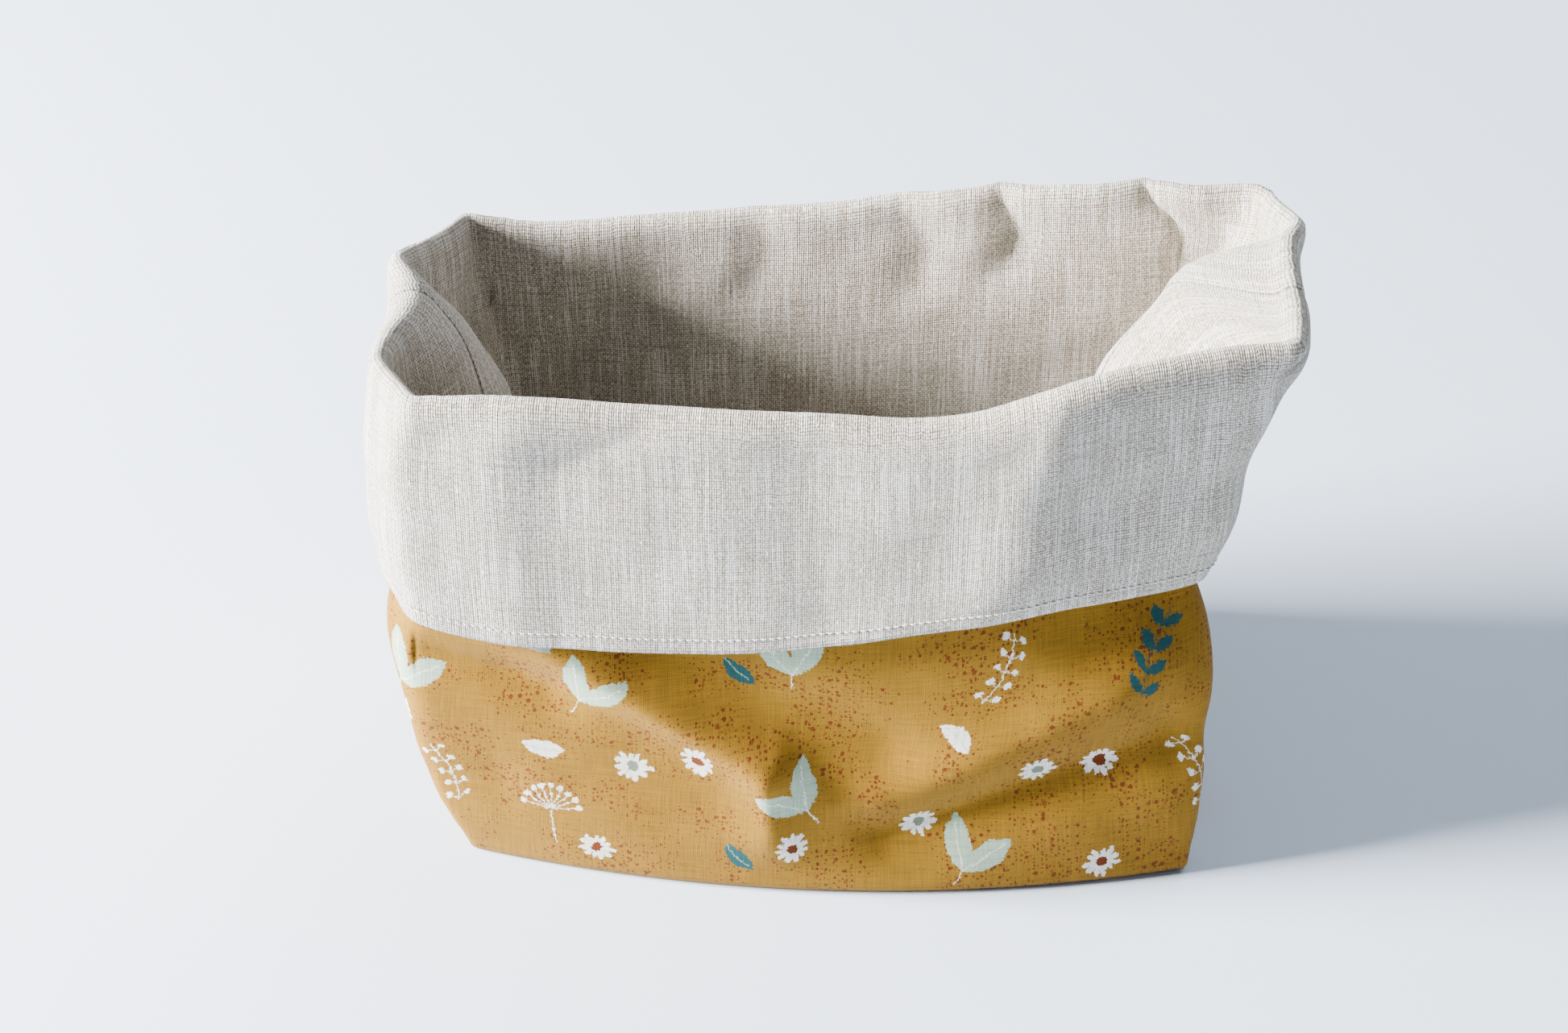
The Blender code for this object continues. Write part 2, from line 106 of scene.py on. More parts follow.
class Side(Enum):
    """The side of the middle surface on which a cloth lies."""

    COTTON = 1.0
    LINEN = -1.0


class Half(Enum):
    """The two panels of each cloth, by the half of the columns that they take."""

    FRONT = "front"
    BACK = "back"


def ease(value: np.ndarray) -> np.ndarray:
    """A soft step from 0 to 1."""
    value = np.clip(value, 0.0, 1.0)
    return value * value * (3.0 - 2.0 * value)


def lengths_along(points: np.ndarray) -> np.ndarray:
    """Distance along a line of points to each of them."""
    steps = np.linalg.norm(np.diff(points, axis=0), axis=1)
    return np.concatenate([[0.0], np.cumsum(steps)])


def between(points: np.ndarray, shares: np.ndarray) -> np.ndarray:
    """Points at shares of a line's length."""
    along = lengths_along(points)
    return np.stack([np.interp(shares * along[-1], along, axis) for axis in points.T], axis=1)


def smooth_curve(xs: np.ndarray, ys: np.ndarray, at: np.ndarray) -> np.ndarray:
    """Values of a smooth curve through points.

    Args:
        xs: Places of the known values, rising.
        ys: The known values.
        at: Places to read.

    Returns:
        The curve's values at those places.
    """
    slopes = np.gradient(ys, xs)
    slot = np.clip(np.searchsorted(xs, at, side="right") - 1, 0, len(xs) - 2)
    width = xs[slot + 1] - xs[slot]
    t = np.clip((at - xs[slot]) / width, 0.0, 1.0)
    start = (2 * t**3 - 3 * t**2 + 1) * ys[slot] + (t**3 - 2 * t**2 + t) * width * slopes[slot]
    end = (3 * t**2 - 2 * t**3) * ys[slot + 1] + (t**3 - t**2) * width * slopes[slot + 1]
    return start + end


def bell(reach: float, sigma: float) -> tuple[np.ndarray, np.ndarray]:
    """Whole offsets as far as a reach both ways, and the weights of a soft bell over them."""
    offsets = np.arange(-int(reach), int(reach) + 1)
    weights = np.exp(-0.5 * (offsets / sigma) ** 2)
    return offsets, weights / weights.sum()


def outward(points: np.ndarray) -> np.ndarray:
    """Unit outward directions in plan for a ring of points that runs by the front to the right."""
    along = np.roll(points, -2, axis=0) - np.roll(points, 2, axis=0)
    side = np.stack([along[:, 1], -along[:, 0]], axis=1)
    return side / np.linalg.norm(side, axis=1)[:, None]


def blurred(values: np.ndarray, reach: Sequence[float]) -> np.ndarray:
    """A grid of values made soft.

    Args:
        values: Rows by columns, the columns going round.
        reach: Softness over rows and over columns, in grid steps.

    Returns:
        The soft grid.
    """
    for axis, sigma in enumerate(reach):
        half = math.ceil(BELL_REACH * sigma)
        offsets, weights = bell(half, sigma)
        pad = [(half, half) if k == axis else (0, 0) for k in range(values.ndim)]
        padded = np.pad(values, pad, mode="wrap" if axis else "edge")
        count = values.shape[axis]
        values = sum(
            w * np.take(padded, np.arange(half + k, half + k + count), axis=axis)
            for k, w in zip(offsets, weights)
        )
    return values


@dataclass(frozen=True)
class BagForm:
    """The shape in which both cloths stand, in millimetres."""

    wall: Sequence[Section] = (
        Section(0.00, -116.5, -116.5, 117.0, 117.5, -74.5, 72.0, 16.0, 7.0, 0.0, 0.0, 0.0, 0.0, 0.00, 1.5),
        Section(0.14, -129.0, -124.0, 119.8, 119.8, -76.0, 69.0, 13.0, 4.0, 5.0, 6.0, 2.0, 2.0, 0.15, 3.0),
        Section(0.31, -135.2, -129.0, 121.6, 121.2, -76.5, 63.0, 8.0, 2.0, 14.0, 16.0, 4.0, 4.0, 0.35, 4.0),
        Section(0.45, -141.0, -133.0, 119.2, 120.0, -76.5, 58.0, 5.0, 1.0, 20.0, 23.0, 5.0, 5.0, 0.70, 4.0),
        Section(0.58, -138.6, -133.5, 113.0, 117.5, -76.5, 55.0, 3.0, 0.0, 25.0, 30.0, 5.0, 7.0, 1.00, 4.0),
        Section(0.75, -138.0, -135.0, 118.0, 124.0, -77.0, 50.0, 1.0, 2.5, 28.0, 38.0, 3.0, 9.0, 1.05, 2.2),
        Section(0.87, -137.0, -137.0, 125.0, 132.5, -78.0, 46.5, 0.5, 6.5, 18.0, 29.0, -4.0, 11.0, 1.00, 1.2),
        Section(0.95, -135.8, -138.4, 130.5, 138.2, -78.3, 44.6, 1.0, 8.6, 9.0, 22.0, -9.0, 12.0, 1.00, 1.0),
        RIM,
    )
    cuff: Sequence[Section] = (
        RIM._replace(rise=0.0),
        Section(0.25, -141.0, -143.0, 130.8, 143.0, -83.0, 52.0, 1.5, 7.0, 0.0, 0.0, -15.0, 0.0, 1.00, 2.4),
        Section(0.50, -142.0, -143.5, 124.2, 136.4, -83.5, 58.0, 2.0, 3.0, 0.0, 0.0, -10.0, 0.0, 1.00, 4.0),
        Section(0.75, -142.4, -143.0, 123.3, 131.0, -84.0, 61.5, 2.0, 1.5, 0.0, 0.0, -10.0, 0.0, 1.00, 4.0),
        Section(1.00, -140.0, -141.0, 116.0, 123.0, -84.0, 62.5, 2.7, 2.0, 0.0, 0.0, -10.0, 0.0, 1.00, 4.0),
    )
    # How far each full corner is cut off, along the end and along the face.
    front_left_cut: tuple[float, float] = (12.0, 21.0)
    front_right_cut: tuple[float, float] = (70.0, 21.0)
    back_right_cut: tuple[float, float] = (9.0, 26.0)
    back_left_cut: tuple[float, float] = (16.0, 36.0)
    stations: Sequence[Station] = (
        Station(0.00, 177.0, 97.5, 14.0),
        Station(0.10, 177.0, 102.5, 3.8),
        Station(0.17, 176.5, 101.0, 4.4),
        Station(0.25, 176.3, 93.6, 6.8),
        Station(0.33, 174.2, 91.5, 8.0),
        Station(0.51, 172.0, 92.5, 8.0),
        Station(0.55, 171.3, 94.5, 8.0),
        Station(0.61, 173.2, 99.0, 8.0),
        Station(0.68, 182.2, 103.0, 8.0),
        Station(0.80, 187.8, 104.8, 9.0),
        Station(0.90, 189.3, 107.5, 5.5),
        Station(1.00, 191.4, 109.0, 6.0),
        Station(1.075, 192.3, 108.0, 4.6),
        Station(1.145, 189.4, 106.0, 3.6),
        Station(1.19, 187.2, 104.0, 4.4),
        Station(1.24, 186.0, 102.5, 5.0),
        Station(1.36, 182.6, 100.5, 5.4),
        Station(1.52, 174.8, 96.0, 5.4),
        Station(1.68, 170.2, 91.5, 5.4),
        Station(1.78, 169.2, 88.0, 4.4),
        Station(1.832, 173.0, 89.0, 3.4),
        Station(1.885, 174.4, 90.0, 3.6),
        Station(1.94, 178.0, 92.0, 4.6),
    )
    folds: Sequence[Fold] = (
        Fold(0.290, 0.54, 0.468, 0.28, 5.5, 10.0, 0.3),
        Fold(0.472, 0.26, 0.466, 0.14, 3.6, 10.0, 0.3),
        Fold(0.40, 0.50, 0.56, 0.32, -4.2, 14.0),
        Fold(0.21, 0.46, 0.30, 0.41, -3.8, 10.0, 0.2),
        Fold(0.19, 0.20, 0.24, 0.20, -1.5, 10.0),
        Fold(0.56, 0.13, 0.79, 0.27, -5.6, 11.0, 0.25),
        Fold(0.80, 0.27, 0.86, 0.26, -1.5, 10.0),
        Fold(0.56, 0.22, 0.80, 0.42, 3.6, 10.0, 0.2),
        Fold(0.79, 0.48, 0.76, 0.40, 1.4, 9.0),
        Fold(1.363, 1.00, 1.369, 0.86, 3.2, 8.0, 0.5),
        Fold(1.240, 1.00, 1.222, 0.78, 3.6, 8.0, 0.6),
        Fold(1.192, 0.98, 1.184, 0.90, -2.0, 8.0, 0.4),
        Fold(1.452, 0.98, 1.440, 0.82, 2.3, 9.0, 0.3),
        Fold(1.580, 0.98, 1.585, 0.84, 1.8, 10.0, 0.3),
        Fold(1.68, 0.85, 1.74, 0.60, 3.0, 18.0),
        Fold(0.255, 1.20, 0.285, 1.90, 1.5, 13.0),
        Fold(0.500, 1.20, 0.530, 1.90, -1.5, 14.0),
        Fold(0.700, 1.30, 0.690, 1.90, 1.5, 14.0),
        Fold(0.303, 1.25, 0.351, 1.09, -1.3, 8.0, 0.4),
    )
    # How far the right seam has slipped toward the back, from the base edge over the rim to the
    # hem, and over how much cloth on either side.
    slip_levels: Sequence[float] = (0.00, 0.45, 0.70, 0.84, 0.92, 1.00, 1.25, 2.00)
    slips: Sequence[float] = (0.0, 2.0, 7.0, 18.0, 17.0, -18.0, -25.0, -26.0)
    slip_reach: float = 75.0
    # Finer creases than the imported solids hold.
    creases: Sequence[Fold] = (
        Fold(0.300, 0.52, 0.455, 0.29, 0.9, 3.5, 0.7),
        Fold(0.468, 0.27, 0.470, 0.16, 0.8, 3.5, 0.7),
        Fold(0.600, 0.16, 0.760, 0.255, -0.9, 4.0, 0.7),
        Fold(0.225, 0.455, 0.285, 0.425, -0.8, 4.0, 0.6),
        Fold(0.860, 0.93, 0.900, 1.00, -0.8, 3.0, 0.8),
        Fold(0.830, 0.90, 0.895, 1.00, 0.6, 3.0, 0.8),
        Fold(0.780, 0.88, 0.890, 0.99, -0.7, 3.5, 0.8),
        Fold(1.143, 1.00, 1.148, 0.93, 1.2, 4.0, 0.9),
        Fold(1.205, 0.94, 1.200, 0.60, 2.8, 24.0),
        Fold(1.832, 1.00, 1.832, 0.74, 1.4, 3.5, 1.0),
        Fold(1.240, 1.00, 1.227, 0.84, 0.9, 3.0, 1.0),
        Fold(1.363, 1.00, 1.368, 0.90, 0.7, 3.0, 1.0),
        Fold(0.303, 1.24, 0.345, 1.11, -0.5, 3.0, 0.8),
    )
    # Lengths of cloth: half a turn, from a side seam to a boxed corner, up the wall, down the cuff.
    half_turn: float = 378.0
    boxed_corner: float = 73.0
    wall_span: float = 180.0
    cuff_span: float = 82.0
    edge_radius: float = 3.0
    outer_roll: float = 4.0
    roll_from: float = 0.72
    roll_gone: float = 0.25
    arch_least: float = 3.0
    arch_share: float = 0.28
    left_seam_lean: float = 0.10
    right_seam_lean: float = 0.052
    seam_gap: float = 0.35
    seam_ditch: float = 0.55
    seam_ditch_width: float = 1.7
    # The wall keeps this clear of the cuff, from some way below the hem up to near the rim.
    cuff_clear: float = 4.6
    clear_below: float = 14.0
    clear_ease: float = 20.0
    clear_soft: tuple[float, float] = (2.0, 3.0)
    cuff_rows_left: int = 4
    wall_rows_left: int = 6
    normal_soft: tuple[float, float] = (0.8, 0.8)
    # Folds fade out this close to the base, and a crisp fold falls off at this rate.
    fold_ease: float = 14.0
    crisp_fall: float = 1.6
    centre: tuple[float, float] = (-1.22, 7.19)
    base_z: float = 1.2
    # Farther out along x is an end of the bag; farther out along y is a face.
    end_from: float = 40.0
    face_from: float = 30.0
    # The front half of a ring is longer than this.
    front_least: float = 60.0
    # Where the threads run straight up on both faces.
    thread_x: float = -15.0
    # Mesh steps: over the seam's ditch, then along the cloth and up it.
    seam_columns: Sequence[float] = (0.1, 0.5, 1.0, 1.6, 2.4, 3.4, 4.8)
    # Levels of the base edge's bend, the wall, the fold at the rim and the cuff.
    edge_levels: int = 5
    wall_levels: int = 60
    rim_levels: int = 11
    cuff_levels: int = 36
    column_step: float = 1.7
    row_step: float = 1.9
    ring_step: float = 1.0
    profile_step: float = 1.0
    profile_soft: float = 3.0
    profile_kept: float = 6.0
    profile_ease: float = 18.0
    # Slight unevenness of slack cloth: height, length of its waves and its spread, their number.
    slack: float = 0.70
    slack_length: float = 34.0
    slack_spread: tuple[float, float] = (0.45, 1.8)
    slack_waves: int = 40
    seed: int = 11

    def section_at(self, table: Sequence[Section], rise: float) -> Section:
        """The section at a share of the height, read off a table of sections."""
        columns = np.array(table, float).T
        at = np.array(rise)
        return Section(*(float(smooth_curve(columns[0], column, at)) for column in columns))

    def straight(self, start: Sequence[float], end: Sequence[float]) -> np.ndarray:
        """Evenly spaced points from one point up to, but not at, another."""
        start, end = np.array(start), np.array(end)
        count = max(2, int(np.ceil(np.linalg.norm(end - start) / self.ring_step)))
        return start + (end - start) * (np.arange(count) / count)[:, None]

    def bellied(self, points: np.ndarray, depth: float) -> np.ndarray:
        """The points bowed along y, most in the middle."""
        share = np.linspace(-1.0, 1.0, len(points))
        points[:, 1] += depth * (1.0 - share**2)
        return points

    def pinched(self, points: np.ndarray, depth: float, centre: float) -> np.ndarray:
        """The end's points pushed along x where the end folds inward."""
        y = points[:, 1]
        reach = np.where(y < centre, centre - y.min(), y.max() - centre) + 1.0
        push = np.cos(0.5 * np.pi * np.clip((y - centre) / reach, -1.0, 1.0)) ** 2
        points[:, 0] += depth * push
        return points

    def ring(self, sizes: Section) -> np.ndarray:
        """The closed outline of one section, seen from above."""
        cuts = (self.front_left_cut, self.front_right_cut, self.back_right_cut, self.back_left_cut)
        front_left, front_right, back_right, back_left = (
            (sizes.corner * along, sizes.corner * deep) for along, deep in cuts
        )
        left_front = (sizes.left_front, sizes.front + front_left[1])
        front_from = (sizes.left_front + front_left[0], sizes.front)
        front_to = (sizes.right_front - front_right[0], sizes.front)
        right_front = (sizes.right_front, sizes.front + front_right[1])
        right_back = (sizes.right_back, sizes.back - back_right[1])
        back_from = (sizes.right_back - back_right[0], sizes.back)
        back_to = (sizes.left_back + back_left[0], sizes.back)
        left_back = (sizes.left_back, sizes.back - back_left[1])
        outline = np.concatenate([
            self.pinched(self.straight(left_back, left_front), sizes.pinch_left, sizes.left_y),
            self.straight(left_front, front_from),
            self.bellied(self.straight(front_from, front_to), -sizes.belly_front),
            self.straight(front_to, right_front),
            self.pinched(self.straight(right_front, right_back), -sizes.pinch_right, sizes.right_y),
            self.straight(right_back, back_from),
            self.bellied(self.straight(back_from, back_to), sizes.belly_back),
            self.straight(back_to, left_back),
        ])
        soft = sizes.soft / self.ring_step
        offsets, weights = bell(math.ceil(BELL_REACH * soft), soft)
        return sum(w * np.roll(outline, -k, axis=0) for k, w in zip(offsets, weights))

    def turned_to(self, points: np.ndarray, y: float, side: int) -> np.ndarray:
        """The ring started at its crossing of a level of y, on the left (-1) or the right (1)."""
        after = np.roll(points, -1, axis=0)
        crosses = (points[:, 1] - y) * (after[:, 1] - y) <= 0.0
        first = int(np.flatnonzero(crosses & (points[:, 0] * side > self.end_from))[0])
        start, end = points[first], after[first]
        share = (y - start[1]) / (end[1] - start[1] + 1e-12)
        return np.concatenate([[start + share * (end - start)], np.roll(points, -first - 1, axis=0)])

    def half_rings(self, points: np.ndarray, left_y: float, right_y: float) -> tuple:
        """The front and the back half of a ring, each from seam to seam."""
        front = self.turned_to(points, left_y, -1)
        whole = lengths_along(front)
        right = self.turned_to(points, right_y, 1)[0]
        gaps = np.linalg.norm(front - right, axis=1)
        near = int(np.argmin(np.where(whole > self.front_least, gaps, np.inf)))
        near += 1 if front[near][1] < right_y else 0
        first = np.concatenate([front[:near], [right]])
        return first, np.concatenate([[right], front[near:], front[:1]])

    def column_shares(self) -> np.ndarray:
        """Shares of half a turn of cloth at which the mesh columns stand."""
        start = self.seam_columns[-1]
        side = np.arange(start, self.boxed_corner, self.column_step)[1:]
        ends = np.concatenate([self.seam_columns, side, [self.boxed_corner]])
        face = self.half_turn - 2.0 * self.boxed_corner
        count = int(face / self.column_step)
        middle = self.boxed_corner + face * np.arange(1, count) / count
        return np.concatenate([ends, middle, self.half_turn - ends[::-1]]) / self.half_turn

    def end_count(self) -> int:
        """How many columns stand before the one at a boxed corner."""
        return int(np.searchsorted(self.column_shares() * self.half_turn, self.boxed_corner - 0.01))

    def places(self) -> np.ndarray:
        """Where the columns stand in half turns of cloth."""
        shares = self.column_shares()
        return np.concatenate([shares, 1.0 + shares])

    def station_values(self, along: np.ndarray) -> dict[str, np.ndarray]:
        """Rim height, hem height and roll at places along the cloth."""
        columns = np.array(self.stations, float).T
        turn = np.concatenate([columns[0, -3:] - 2.0, columns[0], columns[0, :3] + 2.0])
        values = {}
        for name, column in zip(("rim", "hem", "roll"), columns[1:]):
            ys = np.concatenate([column[-3:], column, column[:3]])
            values[name] = smooth_curve(turn, ys, np.mod(along, 2.0))
        return values

    def ring_columns(self, halves: tuple, level: float) -> np.ndarray:
        """The points of a ring at every column, moved along it near the right seam by its slip."""
        shares = self.column_shares()
        whole = np.concatenate([halves[0], halves[1][1:]])
        along = lengths_along(whole)
        seam = lengths_along(halves[0])[-1]
        at = np.concatenate([shares * seam, seam + shares * (along[-1] - seam)])
        slip = smooth_curve(np.array(self.slip_levels), np.array(self.slips), np.array(level))
        at = at + slip * ease(1.0 - np.abs(at - seam) / self.slip_reach)
        return np.stack([np.interp(at, along, axis) for axis in whole.T], axis=1)

    def level(
        self, table: Sequence[Section], share: float, height: np.ndarray, offset: np.ndarray
    ) -> np.ndarray:
        """The points of one level of the wall or cuff.

        Args:
            table: The wall's or the cuff's sections.
            share: Share of the wall's or cuff's height.
            height: Height of each column's point.
            offset: How far each point is moved outward.

        Returns:
            One point for each column.
        """
        half = len(height) // 2
        left_y = -self.left_seam_lean * 0.5 * (height[0] + height[-1])
        right_y = -self.right_seam_lean * 0.5 * (height[half - 1] + height[half])
        outline = self.ring(self.section_at(table, share))
        reached = share + (1.0 if table is self.cuff else 0.0)
        plan = self.ring_columns(self.half_rings(outline, left_y, right_y), reached)
        plan = plan + outward(plan) * offset[:, None]
        return np.concatenate([plan, height[:, None]], axis=1)

    def dense_levels(self) -> np.ndarray:
        """Levels close together from the base edge up the wall, over the rim and down the cuff."""
        values = self.station_values(self.places())
        rim, roll, hem = values["rim"], values["roll"], values["hem"]
        arch = self.arch_least + self.arch_share * roll
        still = np.zeros_like(rim)
        levels = []
        for turn in np.linspace(0.0, 0.5 * np.pi, self.edge_levels)[:-1]:
            height = still + self.edge_radius * (1.0 - np.cos(turn))
            offset = still - self.edge_radius * (1.0 - np.sin(turn))
            levels.append(self.level(self.wall, 0.0, height, offset))
        for share in np.linspace(0.0, 1.0, self.wall_levels):
            height = self.edge_radius + (rim - arch - self.edge_radius) * share
            widening = ease((share - self.roll_from) / (1.0 - self.roll_from))
            levels.append(self.level(self.wall, share, height, (self.outer_roll - roll) * widening))
        for turn in np.linspace(0.0, np.pi, self.rim_levels)[1:-1]:
            height = rim - arch + arch * np.sin(turn)
            offset = self.outer_roll - 0.5 * roll * (1.0 + np.cos(turn))
            levels.append(self.level(self.cuff, 0.0, height, offset))
        for share in np.linspace(0.0, 1.0, self.cuff_levels):
            height = rim - arch + (hem - rim + arch) * share
            offset = still + self.outer_roll * (1.0 - ease(share / self.roll_gone))
            levels.append(self.level(self.cuff, share, height, offset))
        return np.array(levels)

    def smooth_profile(self, profile: np.ndarray) -> np.ndarray:
        """One column's line from base edge to hem, evenly spaced and rounded above the base edge."""
        count = int(lengths_along(profile)[-1] / self.profile_step)
        even = between(profile, np.linspace(0.0, 1.0, count))
        reach = int(BELL_REACH * self.profile_soft)
        offsets, weights = bell(reach, self.profile_soft)
        before = 2 * even[:1] - even[reach:0:-1]
        after = 2 * even[-1:] - even[-2:-reach - 2:-1]
        padded = np.concatenate([before, even, after])
        soft = sum(w * padded[reach + k: reach + k + count] for k, w in zip(offsets, weights))
        keep = ease((np.arange(count) * self.profile_step - self.profile_kept) / self.profile_ease)
        return even + keep[:, None] * (soft - even)

    def row_shares(self, span: float) -> np.ndarray:
        """Evenly spaced shares of the wall's or the cuff's height."""
        return np.linspace(0.0, 1.0, int(span / self.row_step) + 1)

    def levels(self) -> np.ndarray:
        """The level of each row of the mesh: 0 at the base edge, 1 at the rim, 2 at the hem."""
        cuff = 1.0 + self.row_shares(self.cuff_span)[1:]
        return np.concatenate([self.row_shares(self.wall_span), cuff])

    def on_cloth(self, along: np.ndarray, level: np.ndarray) -> np.ndarray:
        """Place on the flat cloth, in millimetres."""
        up = np.minimum(level, 1.0) * self.wall_span + np.maximum(level - 1.0, 0.0) * self.cuff_span
        return np.stack([along * self.half_turn, up], axis=-1)

    def fold_push(self, places: np.ndarray, folds: Sequence[Fold]) -> np.ndarray:
        """How far outward the folds push each place on the cloth."""
        push = np.zeros(places.shape[:-1])
        for fold in folds:
            start = self.on_cloth(fold.from_along, np.array(fold.from_level))
            run = self.on_cloth(fold.to_along, np.array(fold.to_level)) - start
            share = np.clip(((places - start) @ run) / (run @ run), 0.0, 1.0)
            away = np.linalg.norm(places - start - share[..., None] * run, axis=-1) / fold.width
            crisp = np.exp(-self.crisp_fall * away)
            push += fold.depth * ((1.0 - fold.crisp) * np.exp(-away**2) + fold.crisp * crisp)
        return push

    def slack_push(self, places: np.ndarray) -> np.ndarray:
        """The slight unevenness of slack cloth, the same in every run."""
        draw = np.random.default_rng(self.seed)
        push = np.zeros(places.shape[:-1])
        for _ in range(self.slack_waves):
            turn, phase = draw.uniform(0.0, 2.0 * np.pi, 2)
            length = self.slack_length * draw.uniform(*self.slack_spread)
            rounds = np.round(2.0 * self.half_turn * np.cos(turn) / length)
            across = 2.0 * np.pi * rounds / (2.0 * self.half_turn)
            up = 2.0 * np.pi * np.sin(turn) / length
            push += length * np.sin(across * places[..., 0] + up * places[..., 1] + phase)
        return push * self.slack / np.abs(push).max()

    def normals_of(self, grid: np.ndarray) -> np.ndarray:
        """Unit normals of the grid, pointing to the printed cotton's side."""
        along = np.roll(grid, -2, axis=1) - np.roll(grid, 2, axis=1)
        normal = np.cross(along, np.gradient(grid, axis=0))
        normal /= np.linalg.norm(normal, axis=2, keepdims=True)
        normal = blurred(normal, self.normal_soft)
        return normal / np.linalg.norm(normal, axis=2, keepdims=True)

    def kept_clear(self, grid: np.ndarray, crest: int) -> np.ndarray:
        """The grid with the wall pushed inward where it stands too near the cuff over it."""
        first = crest + self.cuff_rows_left
        cuff = grid[first:].reshape(-1, 3)
        facing = self.normals_of(grid)[first:].reshape(-1, 3)
        tree = KDTree(len(cuff))
        for number, point in enumerate(cuff):
            tree.insert(point, number)
        tree.balance()
        moves = np.zeros_like(grid)
        for row in range(1, crest - self.wall_rows_left):
            for column in range(grid.shape[1]):
                point = grid[row, column]
                near = tree.find(point)[1]
                depth = float((point - cuff[near]) @ facing[near])
                above = point[2] - grid[-1, column, 2] + self.clear_below
                reach = float(ease(above / self.clear_ease))
                moves[row, column] = max(0.0, self.cuff_clear - depth) * reach * facing[near]
        moves[:, :, 2] = 0.0
        return grid + blurred(moves, self.clear_soft)

    def with_seams(self, grid: np.ndarray) -> np.ndarray:
        """The grid with the panels a hair apart at each side seam and drawn into a ditch there."""
        half = grid.shape[1] // 2
        to_seam = np.mod(self.places(), 1.0)
        to_seam = np.minimum(to_seam, 1.0 - to_seam) * self.half_turn
        ditch = self.seam_ditch * np.exp(-((to_seam / self.seam_ditch_width) ** 2))
        grid = grid + self.normals_of(grid) * ditch[None, :, None]
        grid[0, :, 2] = 0.0
        for before, after, back, ahead in ((-1, 0, -4, 3), (half - 1, half, half - 4, half + 3)):
            middle = 0.5 * (grid[:, before] + grid[:, after])
            along = grid[:, ahead] - grid[:, back]
            along /= np.linalg.norm(along, axis=1)[:, None]
            grid[:, before] = middle - 0.5 * self.seam_gap * along
            grid[:, after] = middle + 0.5 * self.seam_gap * along
        return grid

    def middle_surface(self) -> np.ndarray:
        """Grid of points of the middle surface: rows from base edge to hem, columns round the bag."""
        dense = self.dense_levels()
        wall_rows, cuff_rows = self.row_shares(self.wall_span), self.row_shares(self.cuff_span)[1:]
        columns = []
        for place in range(dense.shape[1]):
            profile = self.smooth_profile(dense[:, place])
            crest = int(np.argmax(profile[:, 2]))
            wall = between(profile[: crest + 1], wall_rows)
            columns.append(np.concatenate([wall, between(profile[crest:], cuff_rows)]))
        grid = np.array(columns).transpose(1, 0, 2)
        grid[0, :, 2] = 0.0
        cloth = self.on_cloth(*np.meshgrid(self.places(), self.levels()))
        push = self.fold_push(cloth, tuple(self.folds) + tuple(self.creases)) + self.slack_push(cloth)
        push *= ease(grid[:, :, 2] / self.fold_ease)
        plan = np.array([outward(row[:, :2]) for row in grid])
        grid[:, :, :2] += plan * push[..., None]
        return self.with_seams(self.kept_clear(grid, len(wall_rows) - 1))

    def thread_places(self, grid: np.ndarray, half: Half) -> np.ndarray:
        """Place on the flat cloth of each point of a panel, in millimetres.

        The threads run straight up the middle of each face and beside the seams, and lengths
        along the cloth are true from the middle out.

        Args:
            grid: The panel's part of the middle surface.
            half: Which panel it is.

        Returns:
            Distances along and up the cloth.
        """
        places = []
        near = ease(1.0 - self.to_seam() / self.boxed_corner)
        for row, level in zip(grid, self.levels()):
            along = lengths_along(row)
            on_face = np.abs(row[:, 1]) >= self.face_from
            away = np.where(on_face, np.abs(row[:, 0] - self.thread_x), np.inf)
            low, high = sorted(np.argsort(away)[:2])
            share = (self.thread_x - row[low, 0]) / (row[high, 0] - row[low, 0] + 1e-9)
            middle = along[low] + np.clip(share, 0.0, 1.0) * (along[high] - along[low])
            start = 0.5 * self.half_turn + (0.0 if half is Half.FRONT else self.half_turn)
            up = self.on_cloth(np.zeros(1), np.array([level]))[0, 1]
            places.append(np.stack([start + along - middle, np.full_like(along, up)], axis=1))
        places = np.array(places)
        places[:, :, 0] += near * (places[:, :, 0].mean(axis=0) - places[:, :, 0])
        return places

    def to_seam(self) -> np.ndarray:
        """Distance of each column of a panel from the nearest side seam, in millimetres."""
        shares = self.column_shares()
        return np.minimum(shares, 1.0 - shares) * self.half_turn

    def base_grid(self, edge: np.ndarray) -> np.ndarray:
        """Half of the flat base: rows from the panel's face to the bottom seam."""
        ends = self.end_count()
        face = edge[ends: len(edge) - ends]
        near = edge[ends::-1]
        far = edge[len(edge) - ends - 1:]
        seam = np.linspace(edge[0], edge[-1], len(face))
        u = (lengths_along(face) / lengths_along(face)[-1])[None, :, None]
        v = (lengths_along(near) / lengths_along(near)[-1])[:, None, None]
        across = (1 - u) * near[:, None] + u * far[:, None]
        deep = (1 - v) * face[None] + v * seam[None]
        corners = (1 - v) * ((1 - u) * face[0] + u * face[-1]) + v * ((1 - u) * seam[0] + u * seam[-1])
        return across + deep - corners

    def in_place(self, points: np.ndarray) -> np.ndarray:
        """Points of the form in metres, in the frame's place."""
        return (points + np.array([*self.centre, self.base_z])) * MM


